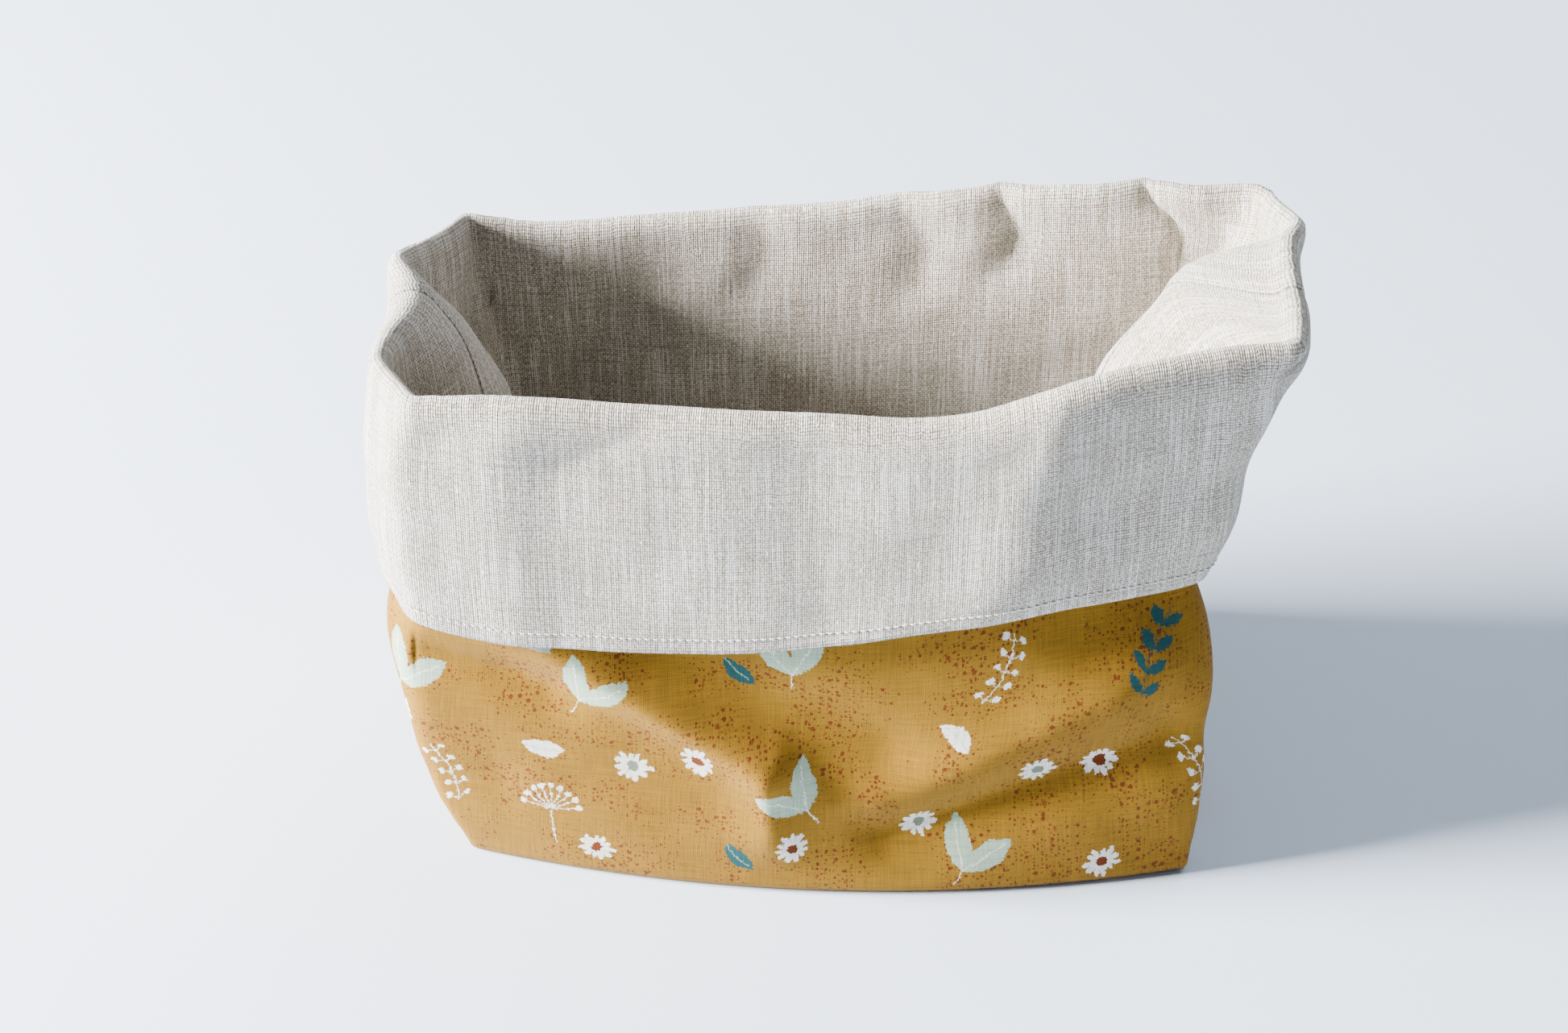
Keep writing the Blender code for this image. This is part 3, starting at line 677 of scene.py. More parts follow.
class Value:
    """A number that a material's nodes work out; sums and products of it add Math nodes."""

    def __init__(self, painter: "Painter", socket: bpy.types.NodeSocket) -> None:
        """Keep the node tree's painter and the socket that gives the number."""
        self.painter = painter
        self.socket = socket

    def __add__(self, other: "Value | float") -> "Value":
        """This plus other."""
        return self.painter.math("ADD", self, other)

    def __radd__(self, other: float) -> "Value":
        """Other plus this."""
        return self.painter.math("ADD", other, self)

    def __sub__(self, other: "Value | float") -> "Value":
        """This less other."""
        return self.painter.math("SUBTRACT", self, other)

    def __rsub__(self, other: float) -> "Value":
        """Other less this."""
        return self.painter.math("SUBTRACT", other, self)

    def __mul__(self, other: "Value | float") -> "Value":
        """This times other."""
        return self.painter.math("MULTIPLY", self, other)

    def __rmul__(self, other: float) -> "Value":
        """Other times this."""
        return self.painter.math("MULTIPLY", other, self)

    def __truediv__(self, other: "Value | float") -> "Value":
        """This over other."""
        return self.painter.math("DIVIDE", self, other)

    def __abs__(self) -> "Value":
        """This without its sign."""
        return self.painter.math("ABSOLUTE", self)

    def __pow__(self, other: float) -> "Value":
        """This to a power."""
        return self.painter.math("POWER", self, other)

    def __mod__(self, other: float) -> "Value":
        """The rest of this over other, never below zero."""
        return self.painter.math("FLOORED_MODULO", self, other)


class Painter:
    """Builds one material's nodes."""

    def __init__(self, name: str) -> None:
        """Make a new material with a bare Principled shader.

        Args:
            name: The material's name.
        """
        self.material = bpy.data.materials.new(name)
        self.material.use_nodes = True
        self.tree = self.material.node_tree
        self.shader = self.tree.nodes["Principled BSDF"]

    def put(self, socket: bpy.types.NodeSocket, value: "Value | float | tuple") -> None:
        """Link a value to a socket, or set it there."""
        if isinstance(value, Value):
            self.tree.links.new(value.socket, socket)
        else:
            socket.default_value = value

    def node(self, kind: str, inputs: dict | None = None, **settings: object) -> bpy.types.Node:
        """Add a node.

        Args:
            kind: The node's type name.
            inputs: Values for its sockets, by name or number.
            **settings: The node's own settings.

        Returns:
            The new node.
        """
        node = self.tree.nodes.new(kind)
        for name, value in settings.items():
            setattr(node, name, value)
        for name, value in (inputs or {}).items():
            self.put(node.inputs[name], value)
        return node

    def math(self, operation: str, *values: "Value | float") -> Value:
        """A Math node on one, two or three values."""
        node = self.node("ShaderNodeMath", dict(enumerate(values)), operation=operation)
        return Value(self, node.outputs[0])

    def least(self, first: Value, second: "Value | float") -> Value:
        """The smaller of two values."""
        return self.math("MINIMUM", first, second)

    def most(self, first: Value, second: "Value | float") -> Value:
        """The larger of two values."""
        return self.math("MAXIMUM", first, second)

    def step(self, value: Value, start: float, end: float) -> Value:
        """A soft step from 0 at start to 1 at end."""
        inputs = {"Value": value, "From Min": start, "From Max": end}
        node = self.node("ShaderNodeMapRange", inputs, interpolation_type="SMOOTHSTEP")
        return Value(self, node.outputs["Result"])

    def inside(self, distance: Value, soft: float = 0.16) -> Value:
        """1 where a distance in millimetres is below zero, with a soft edge."""
        return self.step(distance, soft, -soft)

    def cloth_place(self) -> tuple[Value, Value]:
        """The place on the flat cloth in millimetres, along it and up it."""
        uv = self.node("ShaderNodeUVMap", uv_map="cloth")
        parts = self.node("ShaderNodeSeparateXYZ", {0: Value(self, uv.outputs["UV"])})
        return Value(self, parts.outputs["X"]), Value(self, parts.outputs["Y"])

    def vector(self, x: "Value | float", y: "Value | float", z: "Value | float" = 0.0) -> Value:
        """A vector of three values."""
        return Value(self, self.node("ShaderNodeCombineXYZ", {0: x, 1: y, 2: z}).outputs[0])

    def noise(self, x: Value, y: Value, size: tuple[float, float], detail: float, seed: float) -> Value:
        """Cloudy values from 0 to 1.

        Args:
            x: Place along the cloth in millimetres.
            y: Place up the cloth in millimetres.
            size: Size of the clouds both ways, in millimetres.
            detail: How many finer layers they have.
            seed: Any number; another one gives other clouds.

        Returns:
            The clouds' value.
        """
        place = self.vector(x / size[0] + seed, y / size[1] - seed)
        inputs = {"Vector": place, "Scale": 1.0, "Detail": detail, "Roughness": 0.55}
        node = self.node("ShaderNodeTexNoise", inputs, noise_dimensions="2D")
        return Value(self, node.outputs["Fac"])

    def mix(self, share: "Value | float", first: "Value | tuple", second: "Value | tuple") -> Value:
        """A colour between two colours."""
        node = self.node("ShaderNodeMix", {0: share}, data_type="RGBA")
        self.put(node.inputs[6], first)
        self.put(node.inputs[7], second)
        return Value(self, node.outputs[2])

    def toned(self, colour: Value, value: Value, tone: "Tone", other: tuple) -> Value:
        """A colour with another one laid over it where a value reaches a tone's range."""
        return self.mix(self.step(value, tone.start, tone.full) * tone.share, colour, other)

    def bump(self, height: Value, distance: float, strength: float, below: "Value | None" = None) -> Value:
        """A surface normal bent by a height field, over another one where given."""
        inputs = {"Height": height, "Distance": distance, "Strength": strength}
        if below is not None:
            inputs["Normal"] = below
        return Value(self, self.node("ShaderNodeBump", inputs).outputs["Normal"])


class Tone(NamedTuple):
    """Where a value starts to colour a cloth, where it colours it most, and how much then."""

    start: float
    full: float
    share: float


@dataclass(frozen=True)
class Weave:
    """Threads of a plain weave, in millimetres."""

    warp: float
    weft: float

    def height(self, painter: Painter, x: Value, y: Value) -> tuple[Value, Value]:
        """The threads' relief at a place.

        Args:
            painter: The material's painter.
            x: Place along the cloth in millimetres.
            y: Place up the cloth in millimetres.

        Returns:
            How far the threads stand up, from 0 in the holes to 1 on their crowns, and 1 where
            the warp lies on top or 0 where the weft does.
        """
        across = painter.math("SINE", x * (math.pi / self.warp))
        along = painter.math("SINE", y * (math.pi / self.weft))
        over = painter.step(across * along, -0.12, 0.12)
        warp_crown = abs(across) * (0.5 + 0.5 * abs(along))
        weft_crown = abs(along) * (0.5 + 0.5 * abs(across))
        return weft_crown + over * (warp_crown - weft_crown), over


@dataclass(frozen=True)
class Linen:
    """Natural off-white linen with slubs, with painted shade in the gaps of its weave and along its seams."""

    light: tuple = (0.70, 0.645, 0.56, 1.0)
    grey: tuple = (0.31, 0.265, 0.205, 1.0)
    # Painted shade in the gaps between the threads.
    gap_shade: tuple = (0.085, 0.062, 0.042, 1.0)
    pale: tuple = (0.88, 0.845, 0.78, 1.0)
    fleck: tuple = (0.20, 0.13, 0.075, 1.0)
    # Painted shade for the seam's groove and the stitch pricks.
    seam_shade: tuple = (0.16, 0.12, 0.085, 1.0)
    warp_share: float = 0.52
    dull_thread: Tone = Tone(0.60, 0.32, 0.6)
    pale_warp: Tone = Tone(0.68, 0.88, 0.8)
    grey_warp: Tone = Tone(0.42, 0.28, 0.45)
    pale_weft: Tone = Tone(0.60, 0.76, 0.4)
    grey_weft: Tone = Tone(0.42, 0.28, 0.5)
    cloud: Tone = Tone(0.38, 0.68, 0.22)
    fleck_tone: Tone = Tone(1.06, 1.12, 0.75)
    relief: float = 0.24
    stitch_pitch: float = 2.7
    weave: Weave = Weave(warp=0.714, weft=0.909)
    roughness: float = 0.88
    sheen: float = 0.25

    def seam(self, p: Painter, y: Value) -> tuple[Value, Value]:
        """The side seams' line and the pricks that their stitches leave beside it, where the material paints
        shade into the seam's groove and the needle holes.

        Args:
            p: The material's painter.
            y: Place up the cloth in millimetres.

        Returns:
            Masks of the line and of the pricks, for the painted shade and the bump.
        """
        apart = p.node("ShaderNodeAttribute", attribute_name="from_seam")
        away = Value(p, apart.outputs["Fac"])
        line = p.step(away, 0.95, 0.25)
        beat = p.math("SINE", y * (2.0 * math.pi / self.stitch_pitch))
        return line, p.step(away, 1.1, 0.5) * p.step(beat, 0.35, 0.8)

    def material(self, name: str) -> bpy.types.Material:
        """The linen as a material.

        Args:
            name: The material's name.

        Returns:
            The new material.
        """
        p = Painter(name)
        x, y = p.cloth_place()
        waver = p.noise(x, y, (7.0, 26.0), 2.0, 3.1) - 0.5
        bend = p.noise(x, y, (26.0, 7.0), 2.0, 7.7) - 0.5
        thread_x, thread_y = x + waver * 0.9, y + bend * 0.9
        weave, over = self.weave.height(p, thread_x, thread_y)
        warp_slub = p.noise(thread_x, y, (0.8, 30.0), 2.0, 12.3)
        weft_slub = p.noise(x, thread_y, (24.0, 1.0), 2.0, 5.9)
        uneven = p.noise(thread_x, thread_y, (1.0, 1.3), 1.0, 17.7)
        broad = p.noise(x, y, (5.0, 90.0), 2.0, 21.7)
        cloud = p.noise(x, y, (28.0, 34.0), 3.0, 2.4)
        colour = p.mix(over * self.warp_share, self.light, self.grey)
        colour = p.toned(colour, uneven, self.dull_thread, self.grey)
        colour = p.toned(colour, warp_slub + 0.4 * broad, self.pale_warp, self.pale)
        colour = p.toned(colour, warp_slub, self.grey_warp, self.grey)
        colour = p.toned(colour, weft_slub, self.pale_weft, self.pale)
        colour = p.toned(colour, weft_slub, self.grey_weft, self.grey)
        colour = p.toned(colour, cloud, self.cloud, self.grey)
        # Painted shade in the gaps of the weave, where the threads lie low.
        weave_gap_shade = p.step(weave + (uneven - 0.5) * 0.7, 0.52, 0.12)
        colour = p.mix(weave_gap_shade * 0.8, colour, self.gap_shade)
        specks = p.noise(thread_x, thread_y, (0.9, 1.5), 1.0, 31.0)
        sparse = p.noise(x, y, (6.0, 7.0), 1.0, 8.8)
        colour = p.toned(colour, specks + 0.5 * sparse, self.fleck_tone, self.fleck)
        nub = p.step(p.noise(thread_x, thread_y, (1.1, 4.0), 1.0, 47.0) + 0.4 * sparse, 0.98, 1.04)
        colour = p.mix(nub * 0.8, colour, self.pale)
        line, prick = self.seam(p, y)
        # Painted shade in the seam's groove and in the stitch pricks.
        colour = p.mix(p.most(line * 0.55, prick * 0.8), colour, self.seam_shade)
        p.put(p.shader.inputs["Base Color"], colour)
        height = weave + warp_slub * 0.9 + weft_slub * 0.6 + nub * 1.2 - line * 1.5 - prick * 2.0
        p.put(p.shader.inputs["Normal"], p.bump(height, self.relief * MM, 1.0))
        p.shader.inputs["Roughness"].default_value = self.roughness
        p.shader.inputs["Sheen Weight"].default_value = self.sheen
        p.shader.inputs["Specular IOR Level"].default_value = 0.2
        return p.material


class Spot(NamedTuple):
    """A point as seen from the nearest motif's centre: right of it, above it, and turned with it.

    Kind and turn are numbers from 0 to 1 that differ from motif to motif.
    """

    right: Value
    up: Value
    kind: Value
    turn: Value
    centre_x: Value
    centre_y: Value


@dataclass(frozen=True)
class Scatter:
    """Loose places for motifs, one in each cell of an uneven net, in millimetres."""

    spacing: float
    loose: float
    shift: float
    lean: float

    def cells(self, painter: Painter, x: Value, y: Value) -> bpy.types.Node:
        """The uneven net of cells at a place."""
        place = painter.vector(x + self.shift, y - self.shift)
        inputs = {"Vector": place, "Scale": 1.0 / self.spacing, "Randomness": self.loose}
        return painter.node("ShaderNodeTexVoronoi", inputs, voronoi_dimensions="2D")

    def away(self, painter: Painter, x: Value, y: Value) -> Value:
        """Distance from a place to the nearest motif's centre, in millimetres."""
        return Value(painter, self.cells(painter, x, y).outputs["Distance"]) * self.spacing

    def place(self, painter: Painter, x: Value, y: Value) -> Spot:
        """The place seen from the nearest motif.

        Args:
            painter: The material's painter.
            x: Place along the cloth in millimetres.
            y: Place up the cloth in millimetres.

        Returns:
            The place as a spot beside the motif's centre.
        """
        cells = self.cells(painter, x, y)
        centre = painter.node("ShaderNodeSeparateXYZ", {0: Value(painter, cells.outputs["Position"])})
        lots = painter.node("ShaderNodeSeparateColor", {0: Value(painter, cells.outputs["Color"])})
        kind, turn = Value(painter, lots.outputs[0]), Value(painter, lots.outputs[1])
        centre_x = Value(painter, centre.outputs["X"]) - self.shift
        centre_y = Value(painter, centre.outputs["Y"]) + self.shift
        right, up = x - centre_x, y - centre_y
        angle = (turn - 0.5) * (2.0 * self.lean)
        cosine, sine = painter.math("COSINE", angle), painter.math("SINE", angle)
        turned = right * cosine + up * sine, up * cosine - right * sine
        return Spot(*turned, kind, turn, centre_x, centre_y)


@dataclass(frozen=True)
class PrintedCotton:
    """Mustard cotton with a loose print of blossoms, sprigs, leaves and specks of its own."""

    ground: tuple = (0.285, 0.145, 0.006, 1.0)
    shade: tuple = (0.235, 0.113, 0.0045, 1.0)
    rust: tuple = (0.13, 0.022, 0.001, 1.0)
    white: tuple = (0.80, 0.77, 0.70, 1.0)
    teal: tuple = (0.012, 0.072, 0.075, 1.0)
    mint: tuple = (0.36, 0.47, 0.34, 1.0)
    sage: tuple = (0.17, 0.21, 0.15, 1.0)
    weave: Weave = Weave(warp=0.42, weft=0.42)
    large: Scatter = Scatter(spacing=62.0, loose=0.5, shift=13.0, lean=0.7)
    small: Scatter = Scatter(spacing=33.0, loose=0.7, shift=271.0, lean=3.0)
    roughness: float = 0.86
    sheen: float = 0.05

    def leaf(self, p: Painter, x: Value, y: Value, length: float, width: float) -> tuple[Value, Value]:
        """A pointed leaf along +x from the origin.

        Args:
            p: The material's painter.
            x: Distance along the leaf in millimetres.
            y: Distance beside it.
            length: The leaf's length.
            width: Half of its greatest width.

        Returns:
            Masks of the leaf and of its rib.
        """
        share = p.least(p.most(x / length, 0.0), 1.0)
        edge = p.math("SINE", share * math.pi) ** 0.8 * width
        shape = p.inside(abs(y) - edge) * p.inside(0.0 - x) * p.inside(x - length)
        rib = p.inside(abs(y) - 0.18) * p.inside(x - 0.85 * length) * shape
        return shape, rib

    def blossom(self, p: Painter, x: Value, y: Value, turn: Value) -> tuple[Value, Value]:
        """An open blossom with round petals.

        Args:
            p: The material's painter.
            x: Distance right of its centre in millimetres.
            y: Distance above it.
            turn: A number that turns it.

        Returns:
            Masks of the petals and of the centre.
        """
        radius = p.math("SQRT", x * x + y * y)
        angle = p.math("ARCTAN2", y, x) + turn * 6.0
        lobes = abs(p.math("COSINE", angle * 5.5)) ** 0.6
        uneven = 0.55 * p.math("SINE", angle * 2.0 + turn * 9.0) + 0.3 * p.math("SINE", angle * 5.0)
        petals = p.inside(radius - (2.7 + 3.0 * lobes + uneven)) * p.inside(2.1 - radius)
        ring = p.inside(abs(radius - 2.35) - 0.3)
        return p.most(petals, ring), p.inside(radius - 1.9)

    def umbel(self, p: Painter, x: Value, y: Value) -> Value:
        """A seed head: spokes that fan out from a stem, each with a round seed at its end."""
        radius = p.math("SQRT", x * x + y * y)
        fan = p.math("ARCTAN2", x, y)
        pitch = 0.34
        beside = (fan + 0.5 * pitch) % pitch - 0.5 * pitch
        upper = p.inside(abs(fan) - 1.52, 0.02)
        reach = 9.4
        spokes = p.inside(abs(beside * radius) - 0.17) * p.inside(radius - reach) * upper
        along = radius - reach
        seeds = p.inside(p.math("SQRT", along * along + (beside * radius) ** 2.0) - 1.05) * upper
        halfway = radius - 6.3
        buds = p.inside(p.math("SQRT", halfway * halfway + (beside * radius) ** 2.0) - 0.55) * upper
        stem = p.inside(abs(x - 0.012 * y * y) - 0.22) * p.inside(y) * p.inside(-14.0 - y)
        return p.most(p.most(spokes, seeds), p.most(buds, stem))

    def sprig(self, p: Painter, x: Value, y: Value, pitch: float, leaf: tuple) -> Value:
        """A stem with pairs of leaves.

        Args:
            p: The material's painter.
            x: Distance right of its middle in millimetres.
            y: Distance above it.
            pitch: Distance from pair to pair.
            leaf: Length and half width of a leaf.

        Returns:
            The sprig's mask.
        """
        side = x - 0.014 * y * y + 0.8
        stem = p.inside(abs(side) - 0.2) * p.inside(abs(y) - 13.0)
        beside, up = abs(side), (y + 13.0) % pitch
        lean = 0.72
        along = beside * math.cos(lean) + up * math.sin(lean)
        across = up * math.cos(lean) - beside * math.sin(lean)
        leaves, _ = self.leaf(p, along, across, *leaf)
        return p.most(stem, leaves * p.inside(abs(y) - 12.5))

    def berries(self, p: Painter, x: Value, y: Value) -> Value:
        """A bent twig with round berries on short stalks on either side."""
        side = x + 0.02 * y * y - 1.2
        stem = p.inside(abs(side) - 0.2) * p.inside(abs(y) - 12.0)
        up = (y + 12.0) % 5.0 - 2.5
        out = abs(side) - 3.1
        fruit = p.inside(p.math("SQRT", out * out + up * up) - 1.15)
        stalk = p.inside(abs(up + 0.45 * (3.1 - abs(side))) - 0.14) * p.inside(abs(side) - 3.1)
        return p.most(stem, p.most(fruit, stalk) * p.inside(abs(y) - 11.5))

    def material(self, name: str) -> bpy.types.Material:
        """The printed cotton as a material.

        Args:
            name: The material's name.

        Returns:
            The new material.
        """
        p = Painter(name)
        x, y = p.cloth_place()
        wobble = 1.9
        ragged = 1.5
        drawn_x = x + (p.noise(x, y, (4.5, 4.5), 2.0, 1.7) - 0.5) * wobble
        drawn_y = y + (p.noise(x, y, (4.5, 4.5), 2.0, 9.2) - 0.5) * wobble
        drawn_x = drawn_x + (p.noise(x, y, (0.9, 0.9), 1.0, 27.0) - 0.5) * ragged
        drawn_y = drawn_y + (p.noise(x, y, (0.9, 0.9), 1.0, 33.0) - 0.5) * ragged
        weave, over = self.weave.height(p, x, y)
        colour = p.mix(p.noise(x, y, (40.0, 40.0), 3.0, 4.4), self.ground, self.shade)
        colour = self.speckled(p, x, y, colour)
        colour = self.with_large(p, drawn_x, drawn_y, colour)
        colour = self.with_small(p, drawn_x, drawn_y, colour)
        threads = p.noise(x, y, (0.5, 14.0), 1.0, 6.0) + p.noise(x, y, (14.0, 0.5), 1.0, 16.0)
        # The value darkens the ground as painted shade in the gaps of the weave; the thread streaks and the
        # darker warp are the cloth's own tone.
        shade = 0.62 + 0.40 * p.step(weave, 0.05, 0.7) + 0.45 * (threads - 1.0) - 0.10 * over
        inputs = {"Color": colour, "Value": shade}
        lit = p.node("ShaderNodeHueSaturation", inputs)
        p.put(p.shader.inputs["Base Color"], Value(p, lit.outputs["Color"]))
        p.put(p.shader.inputs["Normal"], p.bump(weave + threads * 0.6, 0.07 * MM, 0.8))
        p.shader.inputs["Roughness"].default_value = self.roughness
        p.shader.inputs["Sheen Weight"].default_value = self.sheen
        p.shader.inputs["Specular IOR Level"].default_value = 0.15
        return p.material

    def speckled(self, p: Painter, x: Value, y: Value, colour: Value) -> Value:
        """The ground with clusters of rust specks."""
        cluster = p.step(p.noise(x, y, (24.0, 17.0), 2.0, 14.0), 0.30, 0.62)
        for spacing, size, shift in ((1.4, 0.58, 5.0), (2.8, 1.05, 57.0)):
            scatter = Scatter(spacing=spacing, loose=1.0, shift=shift, lean=0.0)
            spot = scatter.place(p, x, y)
            radius = p.math("SQRT", spot.right * spot.right + spot.up * spot.up)
            room = p.step(cluster * 0.66 - spot.kind, -0.05, 0.05)
            speck = p.inside(radius - spot.kind * size - 0.12, 0.07) * room
            colour = p.mix(speck * 0.92, colour, self.rust)
        return colour

    def with_large(self, p: Painter, x: Value, y: Value, colour: Value) -> Value:
        """The large motifs: a seed head, a teal sprig, a pair of mint leaves or a berry twig."""
        right, up, kind = self.large.place(p, x, y)[:3]
        first = p.step(kind, 0.25, 0.24)
        second = p.step(kind, 0.24, 0.25) * p.step(kind, 0.50, 0.49)
        third = p.step(kind, 0.49, 0.50) * p.step(kind, 0.74, 0.73)
        fourth = p.step(kind, 0.73, 0.74)
        colour = p.mix(self.umbel(p, right, up) * first, colour, self.white)
        teal = self.sprig(p, right, up, 6.5, (7.5, 1.7)) * second
        colour = p.mix(teal, colour, self.teal)
        lean = 0.55
        beside = abs(right)
        along = (up + 9.0) * math.cos(lean) + beside * math.sin(lean)
        across = beside * math.cos(lean) - (up + 9.0) * math.sin(lean)
        leaf, rib = self.leaf(p, along, across, 19.0, 4.3)
        colour = p.mix(leaf * third, colour, self.mint)
        stem = p.inside(beside - 0.2) * p.inside(up + 9.0) * p.inside(-15.0 - up)
        colour = p.mix(p.most(rib, stem) * third, colour, self.white)
        return p.mix(self.berries(p, right, up) * fourth, colour, self.white)

    def with_small(self, p: Painter, x: Value, y: Value, colour: Value) -> Value:
        """The small motifs: blossoms with a rust or grey-green heart, and single leaves."""
        right, up, kind, turn, centre_x, centre_y = self.small.place(p, x, y)
        clear = p.step(self.large.away(p, centre_x, centre_y), 18.0, 18.5)
        flower = p.step(kind, 0.72, 0.71) * clear
        petals, heart = self.blossom(p, right, up, turn)
        colour = p.mix(petals * flower, colour, self.white)
        hearts = p.mix(p.step(kind, 0.40, 0.42), self.rust, self.sage)
        colour = p.mix(heart * flower, colour, hearts)
        single, rib = self.leaf(p, right + 7.0, up - 0.02 * right * right, 14.0, 3.1)
        leaves = p.mix(p.step(kind, 0.84, 0.85), self.teal, self.white)
        lone = p.step(kind, 0.71, 0.72) * clear
        colour = p.mix(single * lone, colour, leaves)
        return p.mix(rib * lone * 0.7, colour, self.mint)


@dataclass(frozen=True)
class SewingThread:
    """Off-white sewing thread with a fine twist."""

    colour: tuple = (0.80, 0.775, 0.73, 1.0)
    shade: tuple = (0.60, 0.565, 0.51, 1.0)
    twist: float = 0.28

    def material(self, name: str) -> bpy.types.Material:
        """The thread as a material."""
        p = Painter(name)
        x, y = p.cloth_place()
        ply = p.math("SINE", (x + y * 0.8) * (2.0 * math.pi / self.twist)) * 0.5 + 0.5
        p.put(p.shader.inputs["Base Color"], p.mix(ply, self.shade, self.colour))
        p.put(p.shader.inputs["Normal"], p.bump(ply, 0.03 * MM, 0.5))
        p.shader.inputs["Roughness"].default_value = 0.7
        p.shader.inputs["Sheen Weight"].default_value = 0.2
        return p.material


def select_only(piece: bpy.types.Object) -> None:
    """Make one piece the active and only selected object."""
    bpy.ops.object.select_all(action="DESELECT")
    piece.select_set(True)
    bpy.context.view_layer.objects.active = piece


def grid_quads(index: np.ndarray) -> np.ndarray:
    """The four corners of each cell of a grid of vertex numbers."""
    corners = (index[:-1, :-1], index[:-1, 1:], index[1:, 1:], index[1:, :-1])
    return np.stack(corners, axis=-1).reshape(-1, 4)


def new_piece(name: str, points: np.ndarray, faces: np.ndarray, uvs: np.ndarray) -> bpy.types.Object:
    """A mesh object with its place on the flat cloth kept as a UV map in millimetres.

    Args:
        name: The object's name.
        points: Vertices in metres.
        faces: Vertex numbers, four for each face.
        uvs: Place on the cloth of each corner of each face.

    Returns:
        The new object.
    """
    mesh = bpy.data.meshes.new(name)
    mesh.from_pydata(points.tolist(), [], faces.tolist())
    layer = mesh.uv_layers.new(name="cloth")
    layer.data.foreach_set("uv", uvs.reshape(-1).astype(np.float32))
    mesh.shade_smooth()
    piece = bpy.data.objects.new(name, mesh)
    bpy.context.scene.collection.objects.link(piece)
    return piece


@dataclass
class ClothPanel:
    """One panel of one cloth: half of the wall, fold and cuff, with half of the base."""

    form: BagForm
    side: Side
    half: Half
    thickness: float
    gap: float = 0.2
    flat_length: float = 335.0

    def mesh(self, grid: np.ndarray, normals: np.ndarray) -> bpy.types.Object:
        """Build the sheet.

        Args:
            grid: The panel's part of the middle surface.
            normals: Its normals, to the cotton's side.

        Returns:
            The panel as an open sheet in its own middle.
        """
        form = self.form
        grid = grid + normals * self.side.value * (self.gap + 0.5 * self.thickness)
        grid[0, :, 2] = -self.side.value * (self.gap + 0.5 * self.thickness)
        rows, columns = grid.shape[:2]
        base = form.base_grid(grid[0])
        ends = form.end_count()
        wall_index = np.arange(rows * columns).reshape(rows, columns)
        base_index = np.zeros(base.shape[:2], int)
        base_index[0] = np.arange(ends, columns - ends)
        base_index[:, 0] = np.arange(ends, -1, -1)
        base_index[:, -1] = np.arange(columns - ends - 1, columns)
        inner = base_index[1:, 1:-1]
        base_index[1:, 1:-1] = rows * columns + np.arange(inner.size).reshape(inner.shape)
        points = np.concatenate([grid.reshape(-1, 3), base[1:, 1:-1].reshape(-1, 3)])
        wall_uv = form.thread_places(grid, self.half)
        deep = form.column_shares()[: ends + 1] * form.half_turn
        face_uv = wall_uv[0, ends: columns - ends, 0]
        base_uv = np.stack(np.meshgrid(face_uv, -deep[: base.shape[0]]), axis=-1)
        faces = np.concatenate([grid_quads(wall_index), grid_quads(base_index)[:, ::-1]])
        uvs = [self.corner_uvs(wall_uv), self.corner_uvs(base_uv)[:, ::-1]]
        name = f"{self.half.value}_{self.side.name.lower()}_panel"
        piece = new_piece(name, form.in_place(points), faces, np.concatenate(uvs))
        self.mark_seams(piece, rows)
        return piece

    def mark_seams(self, piece: bpy.types.Object, rows: int) -> None:
        """Keep each point's distance from the side seams for the material to read.

        Args:
            piece: The panel.
            rows: How many rows of points its wall and cuff have.
        """
        far = self.form.half_turn
        reach = np.full(len(piece.data.vertices), far)
        to_seam = np.tile(self.form.to_seam(), rows)
        reach[: len(to_seam)] = to_seam
        layer = piece.data.attributes.new("from_seam", "FLOAT", "POINT")
        layer.data.foreach_set("value", reach.astype(np.float32))

    @staticmethod
    def corner_uvs(uv: np.ndarray) -> np.ndarray:
        """The UVs of the four corners of each cell of a grid."""
        corners = (uv[:-1, :-1], uv[:-1, 1:], uv[1:, 1:], uv[1:, :-1])
        return np.stack(corners, axis=-2).reshape(-1, 4, 2)

    def build(self, grid: np.ndarray, normals: np.ndarray, finish: bpy.types.Material) -> bpy.types.Object:
        """Build, thicken and dress the panel.

        Args:
            grid: The panel's part of the middle surface.
            normals: Its normals, to the cotton's side.
            finish: The cloth's material.

        Returns:
            The finished panel.
        """
        piece = self.mesh(grid, normals)
        select_only(piece)
        shell = piece.modifiers.new("thickness", "SOLIDIFY")
        shell.thickness = self.thickness * MM
        shell.offset = 0.0
        bpy.ops.object.modifier_apply(modifier=shell.name)
        piece.data.materials.append(finish)
        return piece

    def declare(self, piece: bpy.types.Object) -> None:
        """Attach the panel to the root and hide the imported part that it stands for.

        Args:
            piece: The finished panel.
        """
        node, slot = ("outer", "cotton") if self.side is Side.COTTON else ("lining", "linen")
        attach(piece, "root")
        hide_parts(f"{node}_{self.half.value}")
        size = (self.form.half_turn * MM, self.flat_length * MM)


